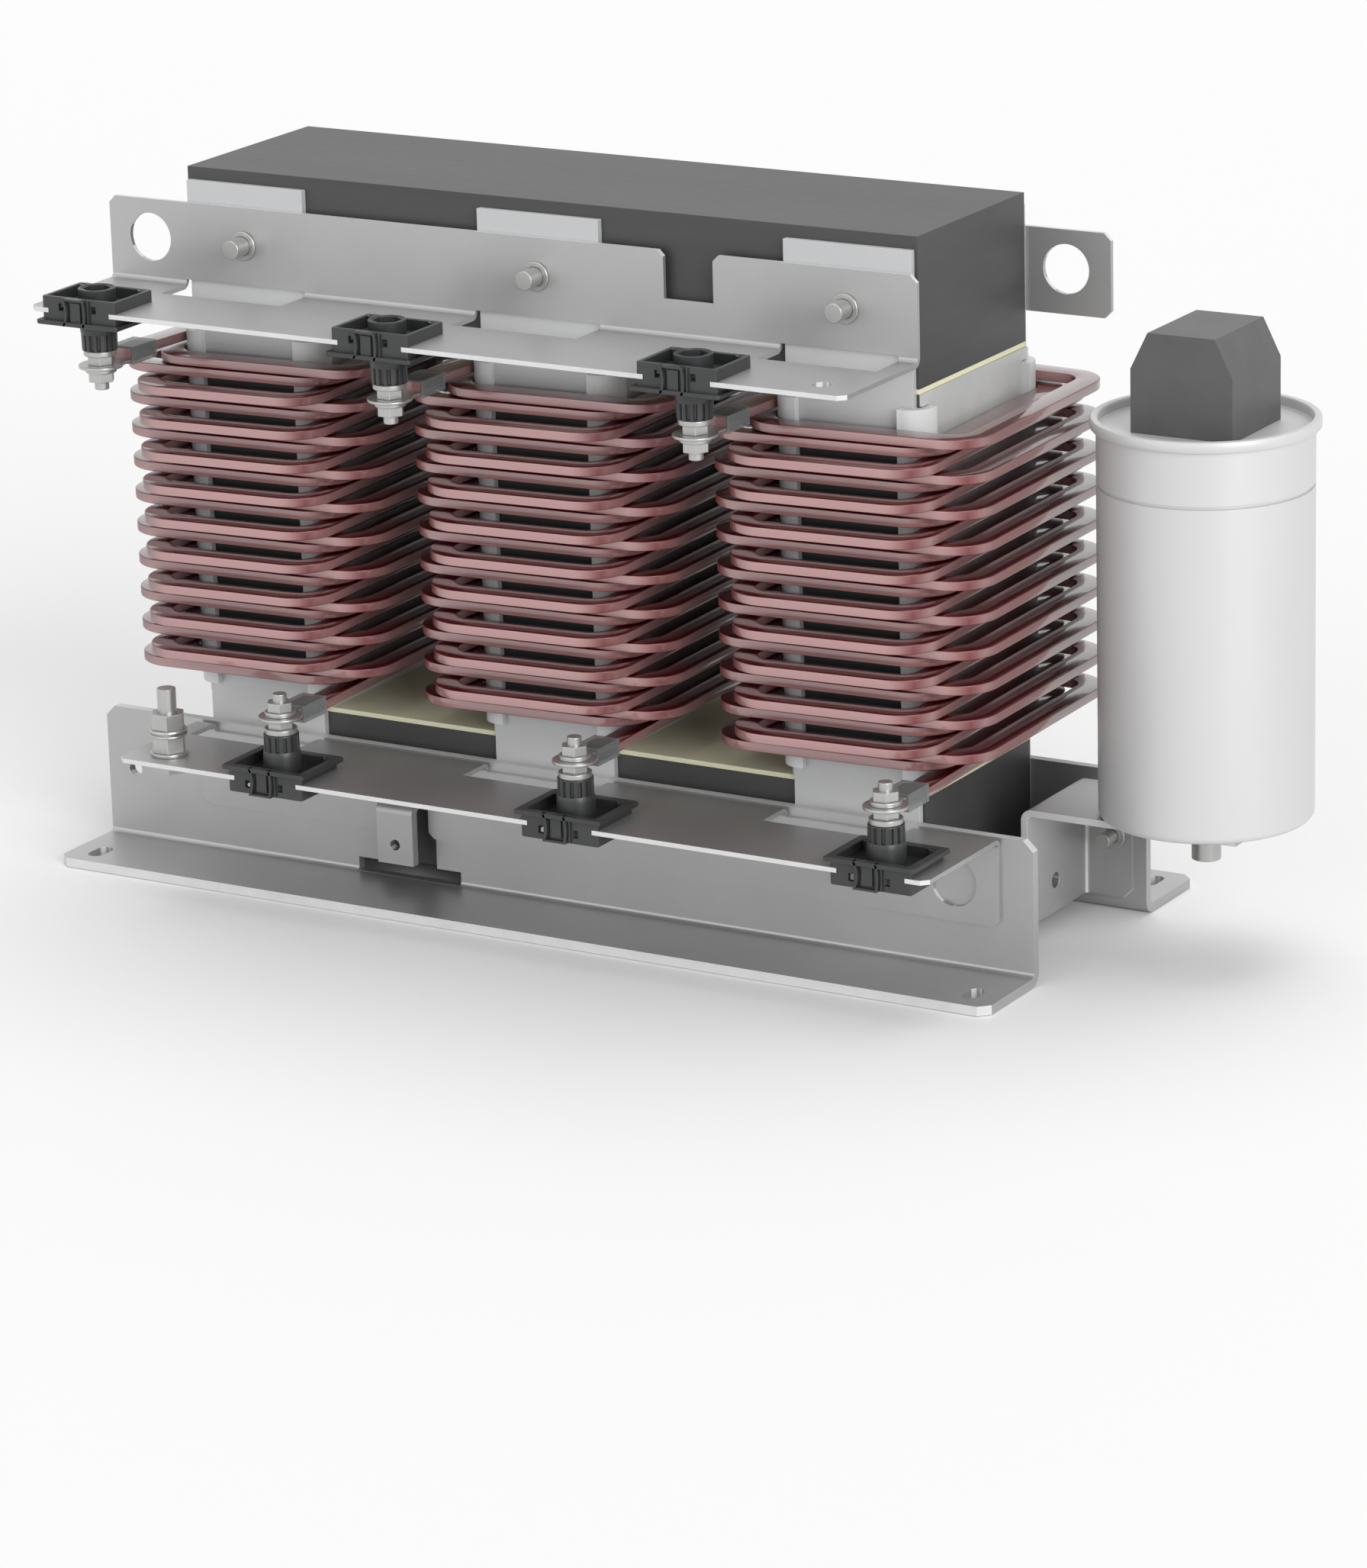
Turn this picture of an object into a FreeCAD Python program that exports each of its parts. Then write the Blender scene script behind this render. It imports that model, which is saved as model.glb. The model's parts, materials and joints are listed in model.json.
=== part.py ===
import FreeCAD, Part
import os
import re
import Sketcher

# Open three phase sine wave filter: a three limb laminated core with edge wound coils, sheet metal
# brackets that carry six terminals, two feet, and a can capacitor on a bracket at the right end.
# Origin on the floor under the middle of the core, X along the core, Y to the rear, Z up.

doc = FreeCAD.newDocument("filter_unit")
sheet = doc.addObject("Spreadsheet::Sheet", "Sizes")
doc.recompute()

SIZES = {
    # Laminated core, its gap boards and its tie plates
    "core_length": 345.4,
    "core_depth": 90.8,
    "core_floor_gap": 8.5,
    "yoke_height": 61.4,
    "limb_pitch": 142.7,
    "limb_width": 60.0,
    "gap_board": 2.1,
    "tie_thickness": 3.0,
    "tie_width": 57.4,
    "tie_end_inset": 5.3,
    # Corner posts and side sheets that hold the coils off the limbs
    "post_wall_side": 4.8,
    "post_wall_front": 3.3,
    "post_leg": 12.0,
    "post_round": 9.5,
    "post_end_gap": 5.2,
    "side_sheet": 1.0,
    # Edge wound coils
    "conductor_width": 10.0,
    "conductor_thickness": 4.0,
    "coil_corner": 18.0,
    "coil_clearance": 0.3,
    "side_turn_shift": 8.5,
    "deep_turn_reach": 16.6,
    "deep_turn_spread": 1.0,
    "turn_pitch": 4.76,
    "coil_start_drop": 25.4,
    "coil_end_gap": 3.5,
    "lead_inset": 26.6,
    # Terminal bracket, used twice: upright at the top and turned over at the bottom
    "bracket_sheet": 2.0,
    "bracket_bend": 2.0,
    "bracket_height": 37.0,
    "shelf_depth": 60.2,
    "shelf_level": 249.3,
    "lower_shelf_level": 59.6,
    "shelf_above_limb": 13.1,
    "bracket_short_end": 174.9,
    "ear_end": 210.0,
    "ear_hole": 20.5,
    "ear_hole_inset": 20.3,
    "ear_hole_rise": 20.7,
    "ear_chamfer": 3.0,
    "window_width": 59.4,
    "window_end": 166.4,
    "window_rise": 3.1,
    "window_reach": 18.6,
    "edge_notch_width": 22.8,
    "edge_notch_depth": 20.0,
    "edge_notch_chamfer": 2.5,
    "earth_hole_x": 157.9,
    "earth_hole_inset": 14.0,
    "rear_strip_end": 175.0,
    # Feet
    "foot_sheet": 4.0,
    "foot_bend": 2.0,
    "foot_length": 449.0,
    "foot_height": 60.8,
    "foot_reach": 45.0,
    "foot_chamfer": 4.4,
    "foot_slot_x": 211.5,
    "foot_slot_y": 80.0,
    "foot_slot_width": 7.3,
    "foot_slot_length": 13.4,
    "foot_side_hole": 6.5,
    "foot_side_hole_x": 210.6,
    "foot_side_hole_z": 33.7,
    "hook_width": 17.6,
    "hook_window": 27.3,
    "hook_bend_level": 41.0,
    "hook_reach": 10.6,
    "hook_tip_level": 13.0,
    "hook_hole": 4.8,
    "hook_hole_level": 21.5,
    "relief_width": 51.0,
    "relief_top": 9.9,
    # Yoke bolts
    "bolt_size": 8.0,
    "bolt_fit": 0.2,
    "bolt_above_shelf": 20.0,
    "bolt_end_reach": 10.0,
    "collar_size": 12.4,
    "collar_height": 1.3,
    "bolt_head_flats": 13.0,
    "bolt_head_height": 5.3,
    "bolt_washer_size": 16.0,
    "bolt_washer_height": 1.6,
    # Terminals
    "terminal_offset": 42.3,
    "housing_width": 36.4,
    "housing_depth": 27.4,
    "housing_rise": 5.1,
    "housing_neck": 30.0,
    "housing_drop": 3.8,
    "housing_wall": 1.8,
    "housing_floor": 1.5,
    "flange_thickness": 1.9,
    "flange_overhang": 2.1,
    "boss_size": 15.6,
    "boss_rise": 8.3,
    "boss_socket": 10.5,
    "boss_socket_depth": 5.0,
    "stem_size": 15.4,
    "stem_end": 10.7,
    "bush_size": 14.8,
    "bush_end": 17.9,
    "ring_size": 13.8,
    "ring_end": 20.3,
    "terminal_stud": 6.0,
    "stud_end": 34.9,
    "nut_flats": 10.0,
    "upper_nut_end": 24.1,
    "lug_size": 18.6,
    "lug_thickness": 1.4,
    "stud_washer_size": 13.0,
    "stud_washer_height": 2.0,
    "end_nut_height": 3.9,
    "sleeve_length": 17.0,
    "sleeve_wall": 1.0,
    "sleeve_inset": 25.6,
    # Earth stud
    "earth_stud": 8.0,
    "earth_washer_size": 16.0,
    "earth_washer_height": 1.6,
    "earth_nut_height": 6.8,
    "earth_nut_flats": 13.0,
    "earth_stud_rise": 28.9,
    "earth_head_height": 5.3,
    # Capacitor and its bracket
    "can_x": 265.6,
    "can_y": 20.0,
    "can_size": 87.0,
    "can_height": 165.0,
    "can_rim_size": 91.8,
    "can_rim_height": 4.2,
    "can_rim_wall": 3.0,
    "can_lid_depth": 4.5,
    "can_groove_drop": 27.0,
    "can_groove": 1.6,
    "can_foot_round": 3.0,
    "cap_width": 44.6,
    "cap_depth": 44.0,
    "cap_top_width": 29.4,
    "cap_top_level": 259.4,
    "cap_shoulder_level": 244.2,
    "can_stud": 12.0,
    "can_stud_length": 18.9,
    "can_nut_flats": 17.0,
    "can_nut_height": 6.0,
    "can_washer_size": 24.0,
    "can_washer_height": 1.5,
    "holder_sheet": 3.0,
    "holder_bend": 2.0,
    "holder_x": 195.3,
    "holder_front": -6.9,
    "holder_top": 57.9,
    "holder_bottom": 7.2,
    "holder_arm": 96.0,
    "holder_relief": 3.6,
    "holder_flange_end": 219.3,
    "holder_hole_y": 17.9,
    "holder_hole_z": 20.7,
    "holder_chamfer": 4.0,
    "holder_bolt": 6.0,
    "holder_bolt_reach": 9.4,
    "holder_washer_size": 12.0,
    "holder_washer_height": 1.6,
    "holder_nut_flats": 10.0,
    "holder_nut_height": 5.0,
    # How far a cutter stands clear of the sheet that it cuts
    "cutter_margin": 1.0,
}

for row, (alias, value) in enumerate(SIZES.items(), start=1):
    sheet.set("A%d" % row, alias)
    sheet.set("B%d" % row, str(value))
    sheet.setAlias("B%d" % row, alias)
doc.recompute()

WORDS = re.compile(r"[a-z_]+")


def named(found):
    word = found.group()
    return "Sizes." + word if word in SIZES else word


def linked(text):
    """Points every size name in an expression at the sheet."""
    return WORDS.sub(named, text)


def size(alias):
    """A size as a number, for the shapes that are worked out in code."""
    return float(getattr(sheet, alias))


def bind(item, **properties):
    for name, text in properties.items():
        item.setExpression(name, linked(text))


def seat(item, x, y, z):
    """Ties the position of an item to expressions of the sheet."""
    item.setExpression("Placement.Base.x", linked(x))
    item.setExpression("Placement.Base.y", linked(y))
    item.setExpression("Placement.Base.z", linked(z))


TURNED = {
    "X": FreeCAD.Rotation(FreeCAD.Vector(0, 1, 0), 90),
    "Y": FreeCAD.Rotation(FreeCAD.Vector(1, 0, 0), -90),
    "Z": FreeCAD.Rotation(),
}


def low_end(ends):
    return "min(%s; %s)" % ends


def span(ends):
    return "abs((%s) - (%s))" % (ends[1], ends[0])


def block(label, x, y, z):
    """A box between two ends along each axis, each end an expression, in either order."""
    item = doc.addObject("Part::Box", label)
    bind(item, Length=span(x), Width=span(y), Height=span(z))
    seat(item, low_end(x), low_end(y), low_end(z))
    return item


def turned_item(kind, label, axis, along, across):
    """A round or six sided bar along an axis, between two ends, at a place across it."""
    item = doc.addObject(kind, label)
    item.Placement = FreeCAD.Placement(FreeCAD.Vector(), TURNED[axis])
    bind(item, Height=span(along))
    start = low_end(along)
    place = {"X": (start, across[0], across[1]), "Y": (across[0], start, across[1]),
             "Z": (across[0], across[1], start)}
    seat(item, *place[axis])
    return item


def rod(label, axis, along, across, width):
    item = turned_item("Part::Cylinder", label, axis, along, across)
    bind(item, Radius="(%s) / 2" % width)
    return item


def hexagon(label, axis, along, across, flats):
    item = turned_item("Part::Prism", label, axis, along, across)
    item.Polygon = 6
    bind(item, Circumradius="(%s) / 2 / cos(30 deg)" % flats)
    return item


def fuse(label, pieces):
    item = doc.addObject("Part::MultiFuse", label)
    item.Shapes = pieces
    item.Refine = True
    return item


def cut(label, base, tools):
    item = doc.addObject("Part::Cut", label)
    item.Base = base
    item.Tool = tools[0] if len(tools) == 1 else fuse(label + "_tools", tools)
    item.Refine = True
    return item


def group(label, pieces):
    """Separate solids of one kind, kept together in one node."""
    item = doc.addObject("Part::Compound", label)
    item.Links = pieces
    return item


def diamond(label, axis, along, across, chamfer):
    """A square bar set on its corner, which cuts a chamfer where it meets a corner of a plate."""
    item = turned_item("Part::Prism", label, axis, along, across)
    item.Polygon = 4
    bind(item, Circumradius=chamfer)
    return item


def off(origin, sign, distance):
    """The expression for a place at a distance from an origin, to the side that sign gives."""
    return "(%s %s (%s))" % (origin, "+" if sign > 0 else "-", distance)


def turned_body(label, points, x, y, z):
    """A body turned about its upright axis from a closed outline of radius and height pairs."""
    body = doc.addObject("PartDesign::Body", label)
    plane = [item for item in body.Origin.OriginFeatures if item.Role == "XZ_Plane"][0]
    sketch = body.newObject("Sketcher::SketchObject", label + "_outline")
    sketch.AttachmentSupport = (plane, "")
    sketch.MapMode = "FlatFace"
    count = len(points)
    for index in range(count):
        start = FreeCAD.Vector(index + 1, index * index, 0)
        end = FreeCAD.Vector(index + 2, (index + 1) * (index + 1), 0)
        sketch.addGeometry(Part.LineSegment(start, end))
    for index in range(count):
        sketch.addConstraint(Sketcher.Constraint("Coincident", index, 2, (index + 1) % count, 1))
    for index, (radius, height) in enumerate(points):
        for kind, axis, text in (("DistanceX", -2, radius), ("DistanceY", -1, height)):
            if text == "0":
                sketch.addConstraint(Sketcher.Constraint("PointOnObject", index, 1, axis))
            else:
                number = sketch.addConstraint(Sketcher.Constraint(kind, -1, 1, index, 1, 1.0))
                sketch.setExpression("Constraints[%d]" % number, linked(text))
    turned = body.newObject("PartDesign::Revolution", label + "_turned")
    turned.Profile = sketch
    turned.ReferenceAxis = (sketch, ["V_Axis"])
    turned.Angle = 360
    seat(body, x, y, z)
    return body


NODES = []


def node(item):
    """Marks an item as a finished sub-part of the filter."""
    item.Label = item.Name
    NODES.append(item)
    return item


LIMBS = {"left": "-limb_pitch", "centre": "0 * limb_pitch", "right": "limb_pitch"}
SIDES = {"front": -1, "rear": 1}
CORE_END = "core_length / 2"
CORE_SIDE = "core_depth / 2"
CORE_BASE = "core_floor_gap"
LIMB_BASE = "(core_floor_gap + yoke_height + gap_board)"
LIMB_TOP = "(shelf_level - shelf_above_limb)"
CORE_TOP = "(%s + gap_board + yoke_height)" % LIMB_TOP
TIE_FACE = "(core_depth / 2 + tie_thickness)"
BOLT_LEVEL = "(shelf_level + bolt_above_shelf)"
LOWER_BOLT_LEVEL = "(%s + %s - %s)" % (CORE_BASE, CORE_TOP, BOLT_LEVEL)
HOLE = "bolt_size + 2 * bolt_fit"


def bolt_holes(label, level, y):
    """Cutters for the three yoke bolts at one level, between two ends along Y."""
    return [rod("%s_hole_%s" % (label, limb), "Y", y, (x, level), HOLE) for limb, x in LIMBS.items()]


def core():
    """Two yokes, three limbs and the two boards that set the air gaps between them."""
    length = ("-" + CORE_END, CORE_END)
    depth = ("-" + CORE_SIDE, CORE_SIDE)
    for label, level, bolts in (("lower_yoke", CORE_BASE, LOWER_BOLT_LEVEL),
                                ("upper_yoke", LIMB_TOP + " + gap_board", BOLT_LEVEL)):
        blank = block(label + "_blank", length, depth, (level, level + " + yoke_height"))
        node(cut(label, blank, bolt_holes(label, bolts, depth)))
    for label, level in (("lower_gap_board", CORE_BASE + " + yoke_height"), ("upper_gap_board", LIMB_TOP)):
        node(block(label, length, depth, (level, level + " + gap_board")))
    for limb, x in LIMBS.items():
        width = (off(x, -1, "limb_width / 2"), off(x, 1, "limb_width / 2"))
        node(block("limb_" + limb, width, depth, (LIMB_BASE, LIMB_TOP)))


def tie_plates():
    """Flat steel straps that clamp both yokes to the limbs, three on each face of the core."""
    for side, sign in SIDES.items():
        face = ("%d * core_depth / 2" % sign, "%d * %s" % (sign, TIE_FACE))
        straps = []
        for limb, x in LIMBS.items():
            label = "tie_%s_%s" % (side, limb)
            width = (off(x, -1, "tie_width / 2"), off(x, 1, "tie_width / 2"))
            height = (CORE_BASE + " + tie_end_inset", CORE_TOP + " - tie_end_inset")
            strap = block(label + "_blank", width, face, height)
            holes = [rod(label + "_top_hole", "Y", face, (x, BOLT_LEVEL), HOLE),
                     rod(label + "_low_hole", "Y", face, (x, LOWER_BOLT_LEVEL), HOLE)]
            straps.append(cut(label, strap, holes))
        node(group(side + "_tie_plates", straps))


def corner_posts():
    """Rounded angle posts on the limb corners, with thin sheets between them on the limb sides."""
    rise = (LIMB_BASE + " + post_end_gap", LIMB_TOP + " - post_end_gap")
    for limb, x in LIMBS.items():
        posts = []
        sheets = []
        for tag, sx in (("l", -1), ("r", 1)):
            outer_x = off(x, sx, "limb_width / 2 + post_wall_side")
            for side, sy in SIDES.items():
                label = "post_%s_%s_%s" % (limb, side, tag)
                outer_y = "%d * (%s + post_wall_front)" % (sy, TIE_FACE)
                inner_x = off(x, sx, "limb_width / 2 + post_wall_side - post_leg")
                inner_y = "%d * (%s + post_wall_front - post_leg)" % (sy, TIE_FACE)
                blank = block(label + "_blank", (inner_x, outer_x), (inner_y, outer_y), rise)
                limb_side = off(x, sx, "limb_width / 2")
                tie_side = off(x, sx, "tie_width / 2")
                core_y = ("0 * core_depth", "%d * core_depth / 2" % sy)
                tie_y = ("0 * core_depth", "%d * %s" % (sy, TIE_FACE))
                core_space = block(label + "_core", (x, limb_side), core_y, rise)
                tie_space = block(label + "_tie", (x, tie_side), tie_y, rise)
                round_x = off(x, sx, "limb_width / 2 + post_wall_side - post_round")
                round_y = "%d * (%s + post_wall_front - post_round)" % (sy, TIE_FACE)
                square = block(label + "_square", (round_x, outer_x), (round_y, outer_y), rise)
                rounding = rod(label + "_rounding", "Z", rise, (round_x, round_y), "2 * post_round")
                edge = cut(label + "_edge", square, [rounding])
                posts.append(cut(label, blank, [core_space, tie_space, edge]))
            label = "sheet_%s_%s" % (limb, tag)
            half = "(%s + post_wall_front - post_leg)" % TIE_FACE
            wall = (off(x, sx, "limb_width / 2"), off(x, sx, "limb_width / 2 + side_sheet"))
            sheets.append(block(label, wall, ("-" + half, half), (LIMB_BASE, LIMB_TOP)))
        node(group("corner_posts_" + limb, posts))
        node(group("side_sheets_" + limb, sheets))


def coil_sides():
    """Centre lines of the four sides of each of the three footprints that the turns cycle through."""
    half = size("conductor_width") / 2
    near_x = size("limb_width") / 2 + size("post_wall_side") + size("coil_clearance") + half
    near_y = (size("core_depth") / 2 + size("tie_thickness") + size("post_wall_front")
              + size("coil_clearance") + half)
    shift = size("side_turn_shift")
    deep_y = near_y + size("deep_turn_reach")
    right_turn = {"left": -near_x, "right": near_x + 2 * shift, "front": -near_y, "rear": near_y}
    left_turn = {"left": -near_x - 2 * shift, "right": near_x, "front": -near_y, "rear": near_y}
    deep_x = near_x + size("deep_turn_spread")
    deep_turn = {"left": -deep_x, "right": deep_x, "front": -deep_y, "rear": deep_y}
    return [right_turn, left_turn, deep_turn]


def coil_path():
    """Corner points of the conductor from the top lead to the bottom lead, as x, y and level.

    Whole cycles of turns and the two that end on the right fill the room between the leads.
    """
    cycle = coil_sides()
    pitch = size("turn_pitch")
    drop = pitch / 4
    half = size("conductor_thickness") / 2
    tie_face = size("core_depth") / 2 + size("tie_thickness")
    shelf_front = -(tie_face + size("bracket_sheet") + size("shelf_depth"))
    sleeve_rear = size("sleeve_inset") + size("sleeve_length")
    top_lead = size("shelf_level") - size("upper_nut_end") + half
    low_lead = size("lower_shelf_level") + size("upper_nut_end") - half
    start = size("shelf_level") - size("coil_start_drop")
    room = start - low_lead - size("coil_end_gap") - 2 * pitch
    turns = len(cycle) * int(room / (len(cycle) * pitch)) + 2
    first, last = cycle[0], cycle[(turns - 1) % len(cycle)]
    points = [(first["left"], shelf_front + size("lead_inset"), top_lead)]
    points.append((first["left"], shelf_front + sleeve_rear, top_lead))
    left = first["left"]
    level = start
    for turn in range(turns):
        sides = cycle[turn % len(cycle)]
        points.append((left, sides["rear"], level))
        points.append((sides["right"], sides["rear"], level - drop))
        points.append((sides["right"], sides["front"], level - 2 * drop))
        points.append((sides["left"], sides["front"], level - 3 * drop))
        left = sides["left"]
        level = level - 4 * drop
    points.append((left, last["rear"], level))
    points.append((last["right"], last["rear"], level - drop))
    low_front = shelf_front - size("foot_sheet")
    points.append((last["right"], low_front + sleeve_rear, low_lead))
    points.append((last["right"], low_front + size("lead_inset"), low_lead))
    return points


def heading(start, end):
    """The direction of a side of the coil, which runs along X or along Y."""
    run = FreeCAD.Vector(end[0] - start[0], end[1] - start[1], 0)
    return run.normalize()


def outward(along):
    """The direction away from the limb for a conductor that runs clockwise round it."""
    return FreeCAD.Vector(-along.y, along.x, 0)


def coil_sections(limb_x):
    """The four corners of the conductor at each place where it starts or ends a bend."""
    width = size("conductor_width")
    half = size("conductor_thickness") / 2
    radius = size("coil_corner") - width / 2
    path = coil_path()
    sections = []

    def add(place, side, level):
        outer = place + side * (width / 2)
        inner = place - side * (width / 2)
        raised = FreeCAD.Vector(0, 0, level + half)
        lowered = FreeCAD.Vector(0, 0, level - half)
        sections.append([outer + raised, inner + raised, inner + lowered, outer + lowered])

    last = len(path) - 1
    for index, (x, y, level) in enumerate(path):
        corner = FreeCAD.Vector(limb_x + x, y, 0)
        before = heading(path[index - 1], path[index]) if index > 0 else heading(path[0], path[1])
        after = heading(path[index], path[index + 1]) if index < last else before
        if (after - before).Length < 0.01:
            add(corner, outward(before), level)
            continue
        centre = corner - before * radius + after * radius
        middle = (outward(before) + outward(after)).normalize()
        for side in (outward(before), middle, outward(after)):
            add(centre + side * radius, side, level)
    return sections


def conductor(limb_x):
    """One flat conductor wound on edge round a limb, as a solid with plane faces."""
    sections = coil_sections(limb_x)
    faces = []
    for near, far in zip(sections, sections[1:]):
        for side in range(4):
            other = (side + 1) % 4
            outline = [near[side], far[side], far[other], near[other], near[side]]
            faces.append(Part.Face(Part.makePolygon(outline)))
    for end in (sections[0], sections[-1]):
        faces.append(Part.Face(Part.makePolygon(end + [end[0]])))
    shell = Part.Shell(faces)
    solid = Part.Solid(shell)
    if solid.Volume < 0:
        solid.reverse()
    return solid


def coils():
    for limb, place in (("left", -1), ("centre", 0), ("right", 1)):
        item = doc.addObject("Part::Feature", "coil_" + limb)
        item.Shape = conductor(place * size("limb_pitch"))
        item.Placement = FreeCAD.Placement()
        node(item)


def angle_sheet(label, x, back, facing, base, rise, reach, height, thick, inner):
    """A sheet bent to an angle: a plate on its back plane and a shelf that stands out from it."""
    bend_y = off(back, facing, "%s + %s" % (thick, inner))
    bend_z = off(base, rise, "%s + %s" % (thick, inner))
    plate = block(label + "_plate", x, (back, off(back, facing, thick)), (bend_z, off(base, rise, height)))
    shelf = block(label + "_shelf", x, (bend_y, off(back, facing, reach)), (base, off(base, rise, thick)))
    outer = rod(label + "_bend_outer", "X", x, (bend_y, bend_z), "2 * (%s + %s)" % (thick, inner))
    hollow = rod(label + "_bend_inner", "X", x, (bend_y, bend_z), "2 * %s" % inner)
    ring = cut(label + "_bend_ring", outer, [hollow])
    quarter = doc.addObject("Part::MultiCommon", label + "_bend")
    quarter.Shapes = [ring, block(label + "_bend_quarter", x, (back, bend_y), (base, bend_z))]
    return fuse(label + "_blank", [plate, shelf, quarter])


SHELVES = {
    "upper": (1, "shelf_level", TIE_FACE),
    "lower": (-1, "lower_shelf_level", "(%s + foot_sheet)" % TIE_FACE),
}


def mirrored(sign, distance):
    return "%d * (%s)" % (sign, distance)


def terminal_bracket(row):
    """The bracket of one terminal row: the lower one is the upper one turned over end for end."""
    sign, level, back = SHELVES[row]
    label = row + "_terminal_bracket"
    base = off(level, -sign, "bracket_sheet / 2")
    reach = "bracket_sheet + shelf_depth"
    x_ends = (mirrored(sign, "-ear_end"), mirrored(sign, "bracket_short_end"))
    blank = angle_sheet(label, x_ends, "-" + back, -1, base, sign, reach,
                        "bracket_height", "bracket_sheet", "bracket_bend")
    front = "(-%s - bracket_sheet - shelf_depth)" % back
    through_shelf = (off(base, -sign, "bracket_sheet"), off(base, sign, "2 * bracket_sheet"))
    plate_back = "(-%s + cutter_margin)" % back
    through_plate = (plate_back, "-%s - bracket_sheet - cutter_margin" % back)
    top = off(base, sign, "bracket_height")
    bolt_level = BOLT_LEVEL if sign > 0 else LOWER_BOLT_LEVEL
    tools = []
    for limb, x in LIMBS.items():
        tag = "%s_%s" % (label, limb)
        window_end = "window_end" if limb == "right" else "%s + window_width / 2" % x
        window_x = (mirrored(sign, "%s - window_width / 2" % x), mirrored(sign, window_end))
        window_y = (plate_back, "-%s - bracket_sheet - window_reach" % back)
        window_z = (off(base, -sign, "cutter_margin"), off(base, sign, "bracket_sheet / 2 + window_rise"))
        tools.append(block(tag + "_window", window_x, window_y, window_z))
        middle = mirrored(sign, "%s - terminal_offset" % x)
        notch_half = "housing_neck / 2 + bolt_fit"
        notch = (off(middle, -1, notch_half), off(middle, 1, notch_half))
        notch_y = ("%s - cutter_margin" % front, "%s + housing_depth" % front)
        tools.append(block(tag + "_notch", notch, notch_y, through_shelf))
        tools.append(rod(tag + "_bolt", "Y", through_plate, (mirrored(sign, x), bolt_level), HOLE))
    ear_place = (mirrored(sign, "ear_hole_inset - ear_end"), off(base, sign, "ear_hole_rise"))
    tools.append(rod(label + "_ear_hole", "Y", through_plate, ear_place, "ear_hole"))
    edge = (mirrored(sign, "limb_pitch / 2 - edge_notch_width / 2"),
            mirrored(sign, "limb_pitch / 2 + edge_notch_width / 2"))
    edge_z = (off(top, -sign, "edge_notch_depth"), off(top, sign, "cutter_margin"))
    tools.append(block(label + "_edge_notch", edge, through_plate, edge_z))
    for tag, x in zip(("inner", "outer"), edge):
        corner = "%s_edge_%s" % (label, tag)
        tools.append(diamond(corner, "Y", through_plate, (x, top), "edge_notch_chamfer"))
    earth_place = (mirrored(sign, "earth_hole_x"), "%s + earth_hole_inset" % front)
    tools.append(rod(label + "_earth_hole", "Z", through_shelf, earth_place, "earth_stud + 2 * bolt_fit"))
    for tag, end in (("ear", "-ear_end"), ("short", "bracket_short_end")):
        x = mirrored(sign, end)
        tools.append(diamond("%s_%s_top" % (label, tag), "Y", through_plate, (x, top), "ear_chamfer"))
        tools.append(diamond("%s_%s_shelf" % (label, tag), "Z", through_shelf, (x, front), "ear_chamfer"))
    node(cut(label, blank, tools))


def rear_strip():
    """The flat strip across the upper yoke at the rear, with the second lifting ear."""
    base = "(shelf_level + bracket_sheet / 2)"
    y = (TIE_FACE, "(%s + bracket_sheet)" % TIE_FACE)
    top = "(shelf_level - bracket_sheet / 2 + bracket_height)"
    blank = block("top_rear_strip_blank", ("-rear_strip_end", "ear_end"), y, (base, top))
    through = ("%s - cutter_margin" % TIE_FACE, "%s + bracket_sheet + cutter_margin" % TIE_FACE)
    ear_place = ("ear_end - ear_hole_inset", "shelf_level - bracket_sheet / 2 + ear_hole_rise")
    tools = bolt_holes("top_rear_strip", BOLT_LEVEL, through)
    tools.append(rod("top_rear_strip_ear", "Y", through, ear_place, "ear_hole"))
    for tag, x, z in (("a", "ear_end", base), ("b", "ear_end", top),
                      ("c", "-rear_strip_end", base), ("d", "-rear_strip_end", top)):
        tools.append(diamond("top_rear_strip_" + tag, "Y", through, (x, z), "ear_chamfer"))
    node(cut("top_rear_strip", blank, tools))


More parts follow.
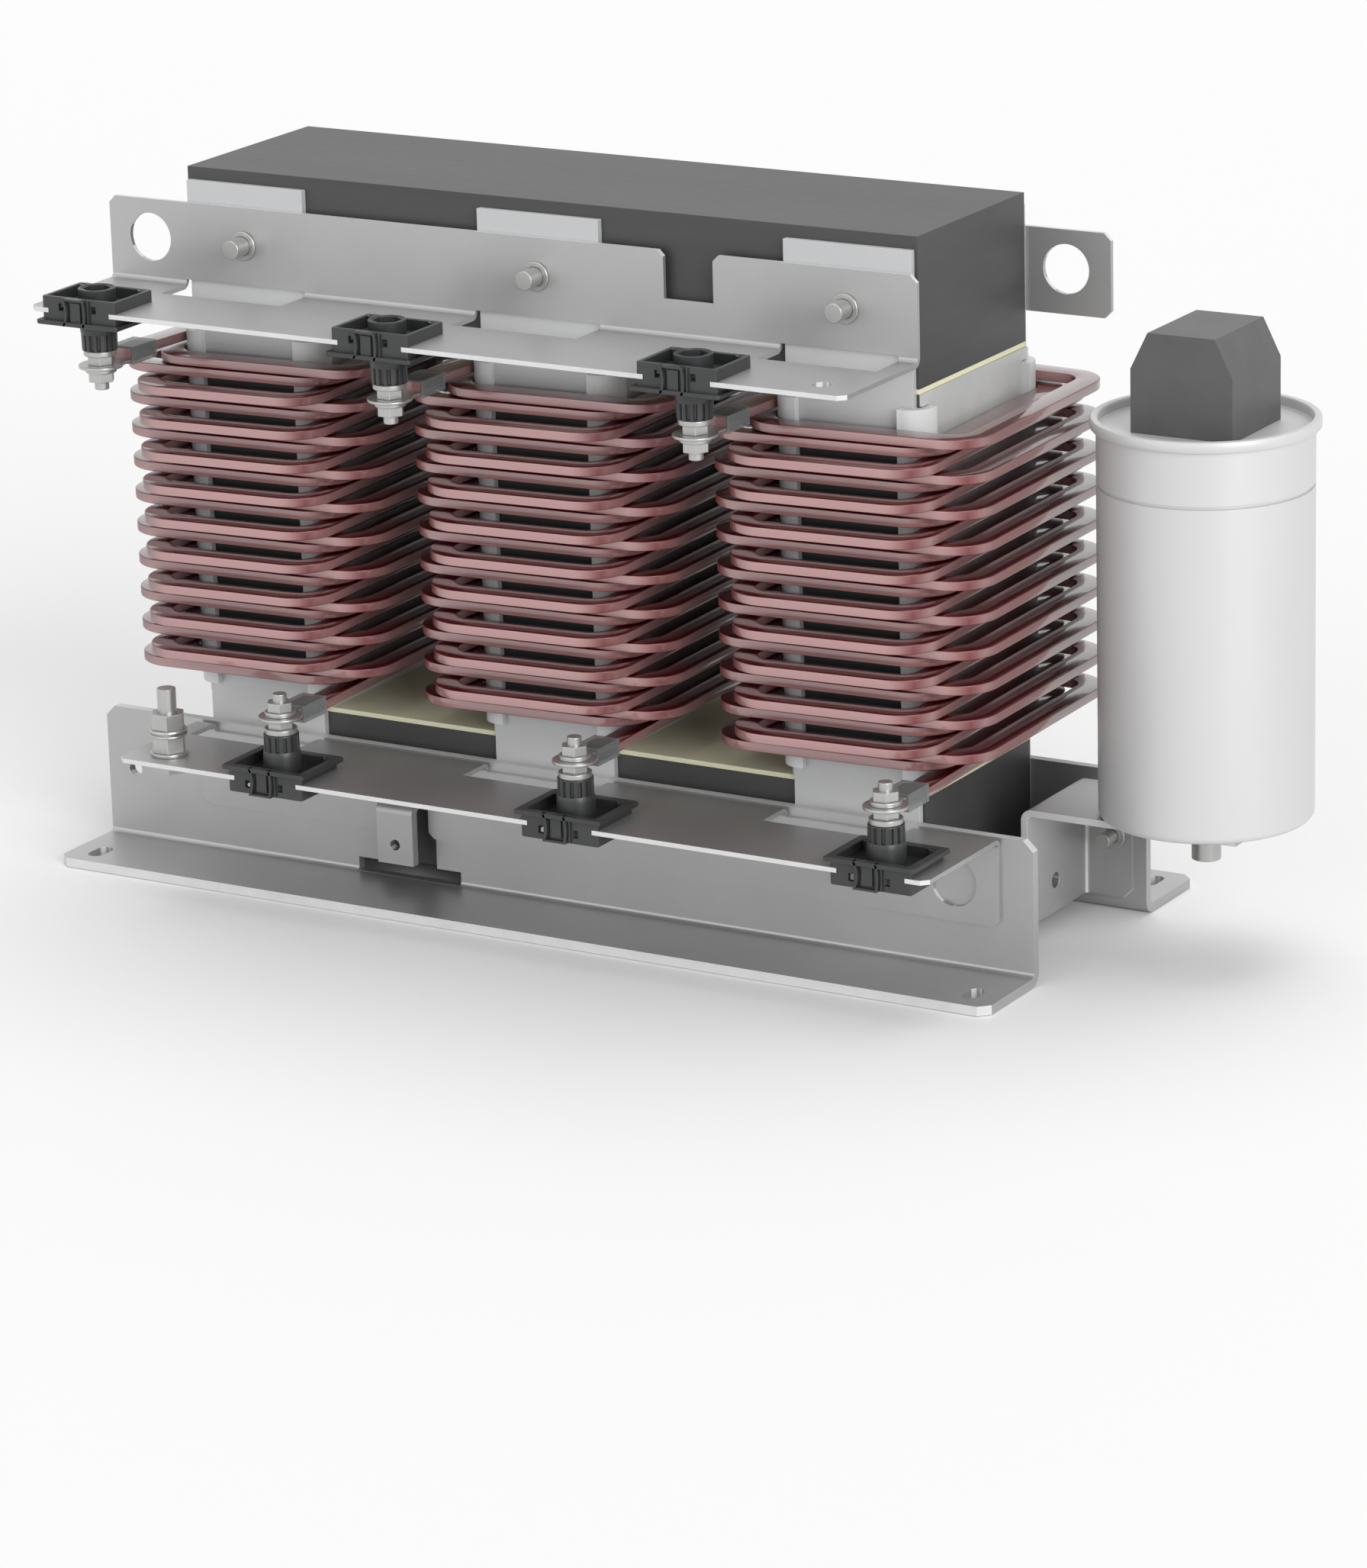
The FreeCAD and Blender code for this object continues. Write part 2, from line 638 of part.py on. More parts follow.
def foot(side):
    """A floor angle: the rear one is the front one turned half way round."""
    facing = SIDES[side]
    label = side + "_foot"
    back = "%d * %s" % (facing, TIE_FACE)
    face = "(%s)" % off(back, facing, "foot_sheet")
    ends = ("-foot_length / 2", "foot_length / 2")
    blank = angle_sheet(label, ends, back, facing, "0 * foot_sheet", 1, "foot_reach", "foot_height",
                        "foot_sheet", "foot_bend")
    through = (off(back, -facing, "cutter_margin"), off(face, facing, "cutter_margin"))
    through_floor = ("-1 * foot_bend", "2 * foot_sheet")
    front = off(back, facing, "foot_reach")
    middle = mirrored(facing, "limb_pitch / 2")
    tools = bolt_holes(label, LOWER_BOLT_LEVEL, through)
    side_hole = (mirrored(facing, "foot_side_hole_x"), "foot_side_hole_z")
    tools.append(rod(label + "_side_hole", "Y", through, side_hole, "foot_side_hole"))
    window = (off(middle, -1, "hook_window / 2"), off(middle, 1, "hook_window / 2"))
    window_z = ("foot_sheet", "hook_bend_level - foot_sheet")
    tools.append(block(label + "_hook_window", window, through, window_z))
    relief = (off(middle, -1, "relief_width / 2"), off(middle, 1, "relief_width / 2"))
    tools.append(block(label + "_relief", relief, through, ("foot_sheet", "relief_top")))
    for sign in (-1, 1):
        tag = "%s_%s" % (label, "left" if sign < 0 else "right")
        end = mirrored(sign, "foot_length / 2")
        slot_x = mirrored(sign, "foot_slot_x")
        centre_y = mirrored(facing, "foot_slot_y")
        half_run = "(foot_slot_length - foot_slot_width) / 2"
        slot_ends = (off(centre_y, -1, half_run), off(centre_y, 1, half_run))
        slot_sides = (off(slot_x, -1, "foot_slot_width / 2"), off(slot_x, 1, "foot_slot_width / 2"))
        tools.append(block(tag + "_slot", slot_sides, slot_ends, through_floor))
        for name, y in zip(("a", "b"), slot_ends):
            tools.append(rod(tag + "_slot_" + name, "Z", through_floor, (slot_x, y), "foot_slot_width"))
        tools.append(diamond(tag + "_top", "Y", through, (end, "foot_height"), "foot_chamfer"))
        tools.append(diamond(tag + "_floor", "Z", through_floor, (end, front), "foot_chamfer"))
    plate = cut(label + "_plain", blank, tools)
    hook_x = (off(middle, -1, "hook_width / 2"), off(middle, 1, "hook_width / 2"))
    hook = angle_sheet(label + "_hook", hook_x, off(face, facing, "hook_reach"), -facing,
                       "hook_bend_level", -1, "hook_reach + foot_sheet", "hook_bend_level - hook_tip_level",
                       "foot_sheet", "foot_bend")
    hook_through = (face, off(face, facing, "hook_reach + cutter_margin"))
    hole = rod(label + "_hook_hole", "Y", hook_through, (middle, "hook_hole_level"), "hook_hole")
    node(fuse(label, [plate, cut(label + "_hook_cut", hook, [hole])]))


def yoke_bolts():
    """Six long bolts across the yokes, with heads and washers at the rear and collars in front."""
    bolts = []
    washers = []
    collars = []
    for row, level in (("upper", BOLT_LEVEL), ("lower", LOWER_BOLT_LEVEL)):
        back = SHELVES[row][2]
        front = "(-%s - bracket_sheet)" % back
        rear = off(TIE_FACE, 1, "bracket_sheet" if row == "upper" else "foot_sheet")
        seat_y = off(rear, 1, "bolt_washer_height")
        for limb, x in LIMBS.items():
            tag = "%s_%s" % (row, limb)
            shank_y = (off(front, -1, "bolt_end_reach"), seat_y)
            shank = rod("bolt_shank_" + tag, "Y", shank_y, (x, level), "bolt_size")
            head_y = (seat_y, off(seat_y, 1, "bolt_head_height"))
            head = hexagon("bolt_head_" + tag, "Y", head_y, (x, level), "bolt_head_flats")
            bolts.append(fuse("bolt_" + tag, [shank, head]))
            disc = rod("bolt_washer_disc_" + tag, "Y", (rear, seat_y), (x, level), "bolt_washer_size")
            bore = rod("bolt_washer_bore_" + tag, "Y", (rear, seat_y), (x, level), "bolt_size")
            washers.append(cut("bolt_washer_" + tag, disc, [bore]))
            face = (front, off(front, -1, "collar_height"))
            disc = rod("collar_disc_" + tag, "Y", face, (x, level), "collar_size")
            bore = rod("collar_bore_" + tag, "Y", face, (x, level), "bolt_size")
            collars.append(cut("collar_" + tag, disc, [bore]))
    node(group("yoke_bolts", bolts))
    node(group("yoke_bolt_washers", washers))
    node(group("yoke_bolt_collars", collars))


def terminal_place(row, limb):
    """Where a terminal stands: its axis, and a function that gives levels away from its shelf."""
    sign, level, back = SHELVES[row]
    x = off(LIMBS[limb], -sign, "terminal_offset")
    y = "(-%s - bracket_sheet - shelf_depth + housing_depth / 2)" % back

    def down(distance):
        return off(level, -sign, distance)

    return x, y, down


def terminal_housing(row, limb):
    """A moulded holder that slides into a notch of the shelf and carries the terminal stud."""
    x, y, down = terminal_place(row, limb)
    label = "terminal_holder_%s_%s" % (row, limb)
    wide = (off(x, -1, "housing_width / 2"), off(x, 1, "housing_width / 2"))
    deep = (off(y, -1, "housing_depth / 2"), off(y, 1, "housing_depth / 2"))
    narrow = (off(x, -1, "housing_neck / 2"), off(x, 1, "housing_neck / 2"))
    frame = block(label + "_frame", wide, deep, (down("-bracket_sheet / 2"), down("-housing_rise")))
    neck = block(label + "_neck", narrow, deep, (down("-bracket_sheet / 2"), down("bracket_sheet / 2")))
    skirt = block(label + "_skirt", wide, deep, (down("bracket_sheet / 2"), down("housing_drop")))
    flange_x = (off(wide[0], -1, "flange_overhang"), off(wide[1], 1, "flange_overhang"))
    flange_y = (off(deep[0], -1, "flange_overhang"), off(deep[1], 1, "flange_overhang"))
    flange_end = "housing_drop + flange_thickness"
    flange = block(label + "_flange", flange_x, flange_y, (down("housing_drop"), down(flange_end)))
    inside_x = (off(narrow[0], 1, "housing_wall"), off(narrow[1], -1, "housing_wall"))
    inside_y = (off(deep[0], 1, "housing_wall"), off(deep[1], -1, "housing_wall"))
    far_z = (down("-housing_rise - cutter_margin"), down("-housing_floor"))
    near_z = (down("housing_floor"), down(flange_end + " + cutter_margin"))
    recesses = [block(label + "_far_recess", inside_x, inside_y, far_z),
                block(label + "_near_recess", inside_x, inside_y, near_z)]
    tray = cut(label + "_tray", fuse(label + "_outside", [frame, neck, skirt, flange]), recesses)
    boss = rod(label + "_boss", "Z", (down("0 * boss_rise"), down("-boss_rise")), (x, y), "boss_size")
    stem = rod(label + "_stem", "Z", (down("0 * stem_end"), down("stem_end")), (x, y), "stem_size")
    bush = rod(label + "_bush", "Z", (down("stem_end"), down("bush_end")), (x, y), "bush_size")
    socket_z = (down("-boss_rise - cutter_margin"), down("boss_socket_depth - boss_rise"))
    socket = hexagon(label + "_socket", "Z", socket_z, (x, y), "boss_socket")
    bore_z = (down("stem_end"), down("bush_end + cutter_margin"))
    bore = rod(label + "_bore", "Z", bore_z, (x, y), "terminal_stud")
    whole = fuse(label + "_whole", [tray, boss, stem, bush])
    node(cut(label, whole, [socket, bore]))


def ring_part(label, kind, x, y, ends, width):
    """A washer or nut with a bore for the terminal stud."""
    make = hexagon if kind == "nut" else rod
    blank = make(label + "_blank", "Z", ends, (x, y), width)
    return cut(label, blank, [rod(label + "_bore", "Z", ends, (x, y), "terminal_stud")])


def terminal_hardware():
    """Studs, rings, nuts, washers and lugs of both terminal rows."""
    found = {"studs": [], "rings": [], "inner_nuts": [], "outer_nuts": [], "washers": []}
    for row in SHELVES:
        lugs = []
        for limb in LIMBS:
            x, y, down = terminal_place(row, limb)
            tag = "_%s_%s" % (row, limb)
            lug_end = "upper_nut_end + lug_thickness"
            washer_end = lug_end + " + stud_washer_height"
            found["studs"].append(rod("stud" + tag, "Z", (down("stem_end"), down("stud_end")), (x, y),
                                      "terminal_stud"))
            ring_z = (down("bush_end"), down("ring_end"))
            found["rings"].append(ring_part("ring" + tag, "ring", x, y, ring_z, "ring_size"))
            found["inner_nuts"].append(ring_part("inner_nut" + tag, "nut", x, y,
                                                 (down("ring_end"), down("upper_nut_end")), "nut_flats"))
            found["washers"].append(ring_part("stud_washer" + tag, "ring", x, y,
                                              (down(lug_end), down(washer_end)), "stud_washer_size"))
            found["outer_nuts"].append(ring_part("outer_nut" + tag, "nut", x, y,
                                                 (down(washer_end), down(washer_end + " + end_nut_height")),
                                                 "nut_flats"))
            lugs.append(lug(row, limb))
        node(group(row + "_lugs", lugs))
    for name, pieces in found.items():
        node(group("terminal_" + name, pieces))


def lead_centre(row, limb):
    """The middle of the conductor's end, across the limb that the terminal serves."""
    sign = SHELVES[row][0]
    offset = "limb_width / 2 + post_wall_side + coil_clearance + conductor_width / 2"
    return off(LIMBS[limb], -sign, offset)


def lug(row, limb):
    """A ring terminal with a flat tongue that is welded under the end of the conductor."""
    x, y, down = terminal_place(row, limb)
    label = "lug_%s_%s" % (row, limb)
    ends = (down("upper_nut_end"), down("upper_nut_end + lug_thickness"))
    disc = rod(label + "_disc", "Z", ends, (x, y), "lug_size")
    lead = lead_centre(row, limb)
    sides = (off(lead, -1, "conductor_width / 2"), off(lead, 1, "conductor_width / 2"))
    rear = off(y, 1, "sleeve_inset + sleeve_length - housing_depth / 2")
    tongue = block(label + "_tongue", sides, (y, rear), ends)
    bore = rod(label + "_bore", "Z", ends, (x, y), "terminal_stud")
    return cut(label, fuse(label + "_blank", [disc, tongue]), [bore])


def sleeves():
    """Insulating sleeves over the joints between the conductors and their lugs."""
    for row in SHELVES:
        pieces = []
        for limb in LIMBS:
            _, y, down = terminal_place(row, limb)
            label = "sleeve_%s_%s" % (row, limb)
            lead = lead_centre(row, limb)
            inner_x = (off(lead, -1, "conductor_width / 2"), off(lead, 1, "conductor_width / 2"))
            outer_x = (off(inner_x[0], -1, "sleeve_wall"), off(inner_x[1], 1, "sleeve_wall"))
            start = off(y, 1, "sleeve_inset - housing_depth / 2")
            along = (start, off(start, 1, "sleeve_length"))
            inner_z = (down("upper_nut_end + lug_thickness"), down("upper_nut_end - conductor_thickness"))
            outer_z = (down("upper_nut_end + lug_thickness + sleeve_wall"),
                       down("upper_nut_end - conductor_thickness - sleeve_wall"))
            shell = block(label + "_outer", outer_x, along, outer_z)
            pieces.append(cut(label, shell, [block(label + "_inner", inner_x, along, inner_z)]))
        node(group(row + "_sleeves", pieces))


def earth_point():
    """The earth stud in the lower shelf, with its washers and nuts."""
    back = SHELVES["lower"][2]
    x = "-earth_hole_x"
    y = "(-%s - bracket_sheet - shelf_depth + earth_hole_inset)" % back
    top = "(lower_shelf_level + bracket_sheet / 2)"
    below = "(lower_shelf_level - bracket_sheet / 2)"
    shank = rod("earth_shank", "Z", (below, off(top, 1, "earth_stud_rise")), (x, y), "earth_stud")
    head_z = (off(below, -1, "earth_head_height"), below)
    head = hexagon("earth_head", "Z", head_z, (x, y), "earth_nut_flats")
    node(fuse("earth_stud", [shank, head]))
    level = top
    pieces = {"washer": [], "nut": []}
    for index, kind in enumerate(("washer", "nut", "washer", "washer", "nut")):
        height = "earth_%s_height" % kind
        ends = (level, off(level, 1, height))
        label = "earth_%s_%d" % (kind, index)
        if kind == "washer":
            blank = rod(label + "_blank", "Z", ends, (x, y), "earth_washer_size")
        else:
            blank = hexagon(label + "_blank", "Z", ends, (x, y), "earth_nut_flats")
        piece = cut(label, blank, [rod(label + "_bore", "Z", ends, (x, y), "earth_stud")])
        pieces[kind].append(piece)
        level = ends[1]
    node(group("earth_washers", pieces["washer"]))
    node(group("earth_nuts", pieces["nut"]))


def capacitor():
    """The can with its rolled rim and bead, the cap on its lid, and the fixing under its bottom."""
    body = "can_size / 2"
    rim = "can_rim_size / 2"
    groove = "(can_height - can_groove_drop)"
    lid = "can_height - can_lid_depth"
    outline = [
        ("0", "0"), (body + " - can_foot_round", "0"), (body, "can_foot_round"),
        (body, groove + " - can_groove / 2"), (body + " - can_groove / 2", groove),
        (body, groove + " + can_groove / 2"), (body, "can_height - can_rim_height"),
        (rim, "can_height - can_rim_height"), (rim, "can_height"), (rim + " - can_rim_wall", "can_height"),
        (rim + " - can_rim_wall", lid), ("0", lid),
    ]
    node(turned_body("capacitor_can", outline, "can_x", "can_y", "holder_top"))
    wide = (off("can_x", -1, "cap_width / 2"), off("can_x", 1, "cap_width / 2"))
    deep = (off("can_y", -1, "cap_depth / 2"), off("can_y", 1, "cap_depth / 2"))
    box = block("cap_box", wide, deep, ("holder_top + " + lid, "cap_shoulder_level"))
    roof = doc.addObject("Part::Wedge", "cap_roof")
    slope = "(cap_width - cap_top_width) / 2"
    bind(roof, Xmax="cap_width", Ymax="cap_top_level - cap_shoulder_level", Zmax="cap_depth",
         X2min=slope, X2max="cap_width - " + slope, Z2max="cap_depth")
    bind(roof, Xmin="0 * cap_width", Ymin="0 * cap_width", Zmin="0 * cap_width", Z2min="0 * cap_width")
    roof.Placement = FreeCAD.Placement(FreeCAD.Vector(), FreeCAD.Rotation(FreeCAD.Vector(1, 0, 0), 90))
    seat(roof, wide[0], deep[1], "cap_shoulder_level")
    node(fuse("capacitor_cap", [box, roof]))
    under = "(holder_top - holder_sheet)"
    washer = (off(under, -1, "can_washer_height"), under)
    nut = (off(washer[0], -1, "can_nut_height"), washer[0])
    place = ("can_x", "can_y")
    stud_z = ("holder_top", off("holder_top", -1, "can_stud_length"))
    node(rod("capacitor_stud", "Z", stud_z, place, "can_stud"))
    for label, make, ends, width in (("capacitor_washer", rod, washer, "can_washer_size"),
                                     ("capacitor_nut", hexagon, nut, "can_nut_flats")):
        blank = make(label + "_blank", "Z", ends, place, width)
        node(cut(label, blank, [rod(label + "_bore", "Z", ends, place, "can_stud")]))


def capacitor_bracket():
    """A sheet bracket on the rear foot: an upright leg, a top flange under the can, a rear flange."""
    face_y = TIE_FACE
    base = "holder_x"
    thick = "holder_sheet"
    inside = "(holder_sheet + holder_bend)"
    bend_x = off(base, 1, inside)
    bend_z = off("holder_top", -1, inside)
    bend_y = off(face_y, -1, inside)
    top_rear = off(bend_y, -1, "holder_relief - holder_bend")
    leg_x = (base, off(base, 1, thick))
    leg = block("holder_leg", leg_x, ("holder_front", bend_y), ("holder_bottom", bend_z))
    top = block("holder_top_flange", (bend_x, off(base, 1, "holder_arm")), ("holder_front", top_rear),
                ("holder_top", off("holder_top", -1, thick)))
    rear = block("holder_rear_flange", (bend_x, "holder_flange_end"), (face_y, off(face_y, -1, thick)),
                 ("holder_bottom", bend_z))
    pieces = [leg, top, rear]
    along = ("holder_front", top_rear)
    for tag, axis, ends, place, x, y, z in (
            ("top", "Y", along, (bend_x, bend_z), (base, bend_x), along, (bend_z, "holder_top")),
            ("rear", "Z", ("holder_bottom", bend_z), (bend_x, bend_y), (base, bend_x), (bend_y, face_y),
             ("holder_bottom", bend_z))):
        outer = rod("holder_%s_bend_outer" % tag, axis, ends, place, "2 * " + inside)
        hollow = rod("holder_%s_bend_inner" % tag, axis, ends, place, "2 * holder_bend")
        ring = cut("holder_%s_bend_ring" % tag, outer, [hollow])
        quarter = doc.addObject("Part::MultiCommon", "holder_%s_bend" % tag)
        quarter.Shapes = [ring, block("holder_%s_bend_quarter" % tag, x, y, z)]
        pieces.append(quarter)
    blank = fuse("holder_blank", pieces)
    through_leg = (off(base, -1, "cutter_margin"), off(base, 1, "2 * holder_sheet"))
    through_rear = (off(face_y, 1, "cutter_margin"), off(face_y, -1, "2 * holder_sheet"))
    through_top = (off("holder_top", 1, "cutter_margin"), off("holder_top", -1, "2 * holder_sheet"))
    bolt_place = ("foot_side_hole_x", "foot_side_hole_z")
    tools = [
        rod("holder_leg_hole", "X", through_leg, ("holder_hole_y", "holder_hole_z"), "foot_side_hole"),
        rod("holder_rear_hole", "Y", through_rear, bolt_place, "foot_side_hole"),
        rod("holder_can_hole", "Z", through_top, ("can_x", "can_y"), "can_stud + 2 * bolt_fit"),
        diamond("holder_rear_corner", "Y", through_rear, ("holder_flange_end", "holder_bottom"),
                "holder_chamfer"),
    ]
    node(cut("capacitor_bracket", blank, tools))
    front = off(face_y, -1, "holder_sheet")
    rear_face = off(face_y, 1, "foot_sheet")
    shank_y = (off(front, -1, "holder_bolt_reach"), rear_face)
    shank = rod("holder_bolt_shank", "Y", shank_y, bolt_place, "holder_bolt")
    head = hexagon("holder_bolt_head", "Y", (rear_face, off(rear_face, 1, "holder_nut_height")), bolt_place,
                   "holder_nut_flats")
    node(fuse("capacitor_bracket_bolt", [shank, head]))
    ends = (front, off(front, -1, "holder_washer_height"))
    disc = rod("holder_washer_disc", "Y", ends, bolt_place, "holder_washer_size")
    bore = rod("holder_washer_bore", "Y", ends, bolt_place, "holder_bolt")
    node(cut("capacitor_bracket_washer", disc, [bore]))


core()
tie_plates()
corner_posts()
coils()
for row_name in SHELVES:
    terminal_bracket(row_name)
rear_strip()
for side_name in SIDES:
    foot(side_name)
yoke_bolts()
for row_name in SHELVES:
    for limb_name in LIMBS:
        terminal_housing(row_name, limb_name)
terminal_hardware()
sleeves()
earth_point()
capacitor()
capacitor_bracket()
doc.recompute()

os.makedirs("parts", exist_ok=True)
for item in doc.Objects:
    if "Invalid" in item.State or "Error" in item.State:
        raise RuntimeError("%s did not build" % item.Name)
for item in NODES:
    if item.Shape.isNull() or not item.Shape.isValid():
        raise RuntimeError("%s has no valid shape" % item.Label)
for item in NODES:
    item.Shape.exportStep(os.path.join("parts", item.Label + ".step"))
    print("%-32s solids %d  volume %.0f" % (item.Label, len(item.Shape.Solids), item.Shape.Volume))
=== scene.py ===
import json
import math

import bmesh
import bpy
from mathutils import Matrix, Vector


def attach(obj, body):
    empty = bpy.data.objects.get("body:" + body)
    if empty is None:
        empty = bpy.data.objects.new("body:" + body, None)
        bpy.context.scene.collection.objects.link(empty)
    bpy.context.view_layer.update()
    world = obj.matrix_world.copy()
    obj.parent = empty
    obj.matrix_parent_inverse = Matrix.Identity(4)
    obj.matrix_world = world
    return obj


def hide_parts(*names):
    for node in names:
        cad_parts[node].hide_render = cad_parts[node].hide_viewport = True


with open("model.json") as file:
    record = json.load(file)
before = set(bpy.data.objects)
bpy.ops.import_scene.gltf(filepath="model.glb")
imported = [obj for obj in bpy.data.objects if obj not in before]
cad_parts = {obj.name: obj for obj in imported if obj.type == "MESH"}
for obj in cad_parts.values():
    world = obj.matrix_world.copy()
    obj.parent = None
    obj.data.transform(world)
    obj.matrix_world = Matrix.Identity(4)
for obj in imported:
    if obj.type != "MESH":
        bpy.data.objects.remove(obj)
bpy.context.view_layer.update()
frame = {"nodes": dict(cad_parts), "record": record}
MM = 0.001
NODES = frame["nodes"]

# Camera: the photograph's height and focal length in pixels, where it was taken from and how far
# the camera sees in metres, and the width of its sensor in millimetres
PHOTO_HEIGHT = 2055
FOCAL_PIXELS = 8254.67
CAMERA_PLACE = Vector((1.322724, -2.163666, 0.825262))
CAMERA_AZIMUTH = math.radians(30.802)
CAMERA_ELEVATION = math.radians(17.218)
CAMERA_ROLL = math.radians(-1.567)
CAMERA_REACH = 20.0
SENSOR = 36.0

# Lamps: the side they shine from, strength, and spread in degrees; then the world's soft light,
# and the floor's half size, drop below the feet, and tone
LAMPS = {
    "key": ((1.0, -0.6, 0.45), 1.95, 40),
    "top": ((-0.1, 0.3, 1.0), 1.1, 50),
    "front": ((-0.3, -1.0, 0.2), 0.58, 60),
}
SOFT_LIGHT = 0.46
FLOOR_HALF = 6.0
FLOOR_DROP = 0.0002
FLOOR_TONE = 0.92
WHITE = (1, 1, 1, 1)

# Core, posts, side sheets and shelves, in millimetres like all sizes that follow
LIMB_PITCH = 142.7
LIMB_X = {"left": -LIMB_PITCH, "centre": 0.0, "right": LIMB_PITCH}
LIMB_HALF = 30.0
CORE_HALF_DEPTH = 45.4
TIE_FACE = 48.4
POST_WALL_SIDE = 4.8
POST_WALL_FRONT = 3.3
POST_ENDS = (77.2, 231.0)
POST_GAP = 0.5
SIDE_SHEET = 1.0
SIDE_SHEET_ENDS = (72.0, 236.2)
SIDE_SHEET_HALF = 39.7
UPPER_SHELF = 249.3
LOWER_SHELF = 59.6
BRACKET_SHEET = 2.0
FOOT_SHEET = 4.0
SHELF_DEPTH = 60.2

# Coils: the conductor, its turns and its leads, then the steps of a bend and the least bend
# that doesn't count as straight on
CONDUCTOR_WIDTH = 10.0
CONDUCTOR_THICKNESS = 4.0
CONDUCTOR_EDGE = 0.45
COIL_CORNER = 18.0
COIL_CLEARANCE = 0.3
SIDE_SHIFT = 8.5
DEEP_REACH = 16.6
DEEP_SPREAD = 1.0
TURN_PITCH = 4.76
TURNS = 29
COIL_START_DROP = 25.4
LEAD_INSET = 26.6
SLEEVE_INSET = 25.6
SLEEVE_LENGTH = 17.0
LUG_LEVEL = 24.1
BEND_STEPS = 10
LEAST_BEND = 0.01

# Enamel: how far a normal leans on one axis halfway round a bend, and how much darker the sides facing X
# are painted than front and back, as painted shade
BEND_LEAN = 0.72
PAINTED_SIDE_SHADE = -0.36

# Painted shade on the tie plates inside the coils, where shade falls between the turns: its middle level,
# half length and fade
PAINTED_SHADE_MIDDLE = 154.5
PAINTED_SHADE_HALF = 69.0
PAINTED_SHADE_FADE = 6.0

# Terminal holders: each row has the side of its studs, its shelf and its place in depth.
# Levels count from the shelf towards the end of the stud.
ROWS = {"upper": (1, UPPER_SHELF, -96.9), "lower": (-1, LOWER_SHELF, -100.9)}
TERMINAL_OFFSET = 42.3
HOLDER_HALF = (18.2, 13.7)
HOLDER_WALL = 1.8
HOLDER_FAR = -6.0
HOLDER_FLOOR = 1.3
NECK_HALF_WIDTH = 15.0
NECK_LEVEL = 1.0
SKIRT_END = 3.8
FLANGE_END = 5.7
FLANGE_HALF = (20.3, 15.8)

# Radii of a holder's upright corners, and the small bevels of its other edges
BODY_CORNER = 1.0
RIM_CORNER = 0.8
NECK_CORNER = 0.5
FLANGE_CORNER = 1.2
INSIDE_CORNER = 0.7
EDGE = 0.3
FINE_EDGE = 0.2

# Boss with its socket, stem and fluted bush of a holder
BOSS_RADIUS = 7.8
BOSS_RIM = 1.0
BOSS_TOP = -8.3
SOCKET_FLATS = 10.5
SOCKET_STEP = 0.4
SOCKET_DEPTH = 5.0
STEM_RADII = (8.1, 7.9, 7.6)
STEM_TAPER = 2.0
STEM_END = 10.7
BUSH_RADII = (7.5, 7.4, 7.3)
BUSH_LIP = 0.5
BUSH_LIP_EDGE = 0.4
BUSH_END = 17.9
FLUTES = 14
FLUTE_DEPTH = 1.0
FLUTE_SHARE = 0.55

# Latch in front of a holder: place and swell of its ribs, then its bar, tongue and guide, each with
# its ends along X, how far it stands out from the body, and its levels
LATCH_RIBS = ((-6.5, 1.5), (3.3, 0.8))
LATCH_RIB_HALF = 0.5
LATCH_RIB_STEPS = 12
LATCH_BLOCKS = (
    ((-6.6, 3.4), 2.0, (HOLDER_FAR, HOLDER_FAR + 0.9)),
    ((-3.6, 1.4), 0.9, (HOLDER_FAR + 1.8, SKIRT_END)),
    ((4.9, 5.7), 1.0, (HOLDER_FAR + 0.5, SKIRT_END)),
)

# Windows beside the latch, and screw eyes in the rear corners
WINDOW_PLACES = (-8.6, 7.6)
WINDOW_HALF = 1.2
WINDOW_DEPTHS = (-15.0, -11.0)
WINDOW_LEVELS = (-3.4, -0.2)
SCREW_EYE_PLACES = ((-14.8, 11.8), (14.8, 11.8))
SCREW_EYE_RADII = (2.3, 1.2)
SCREW_EYE_DROP = 0.1

# Capacitor
CAN_PLACE = Vector((265.6, 20.0, 57.9))
CAN_RADIUS = 43.5
CAN_HEIGHT = 165.0
CAN_RIM = 45.9
CAN_RIM_HEIGHT = 4.6
CAN_LID_DEPTH = 4.5
CAN_FOOT = 3.0
CAN_FOOT_STEPS = 6
CAN_GROOVE_DROP = 27.0
CAN_GROOVE = ((-0.7, 0), (-0.45, 0.9), (0.45, 0.9), (0.7, 0))

# Outline of the can's rolled rim, as steps out and up: from the can's side and the rim's lower level,
# from the rim's radius and that level, from the rim's radius and the top, and down to the lid
RIM_ROOT = ((0, -0.4), (0.5, 0))
RIM_SIDE = ((-0.5, 0.2), (0, 0.8))
RIM_TOP = ((0, -0.6), (-0.5, 0), (-2.8, 0), (-3.1, -0.4), (-3.3, -1.2))
RIM_LID = ((-3.3, 0.8), (-4.0, 0))

# Turned forms: points round a ring, and the radius of the tiny ring that closes an end
RING_POINTS = 112
CAN_POINTS = 160
AXIS = 0.02

# Angles in degrees beyond which an edge of a piece stays sharp
COIL_SHARP = 50
HOLDER_SHARP = 32
CAN_SHARP = 40

# Cut edges of sheets: the widest strip, the least distance between two planes, how far a normal leans
# on one axis, and the steps to the metre of the grid on which corners are compared
SHEET_SLOTS = ("bracket_steel", "tie_steel")
WIDEST_EDGE = 4.05 * MM
PLANE_STEP = 0.05 * MM
END_FACE = 0.9
STRAIGHT_FACE = 0.9995
SLANTED_FACE = 0.5
GRID = 100000

# Dressing of the frame nodes: lengths in metres, angles in degrees
WELD_REACH = 0.01 * MM
FLAT_ANGLE = 0.3
BEVEL = 0.25 * MM
FASTENER_BEVEL = 0.4 * MM
BEVEL_ANGLE = 40
BEVEL_STEPS = 2
AREA_WEIGHT = 95


def srgb(*values):
    """Linear colour from the 0 to 255 values that a picture shows."""
    out = []
    for value in values:
        v = value / 255
        out.append(v / 12.92 if v <= 0.04045 else ((v + 0.055) / 1.055) ** 2.4)
    return (out[0], out[1], out[2], 1.0)


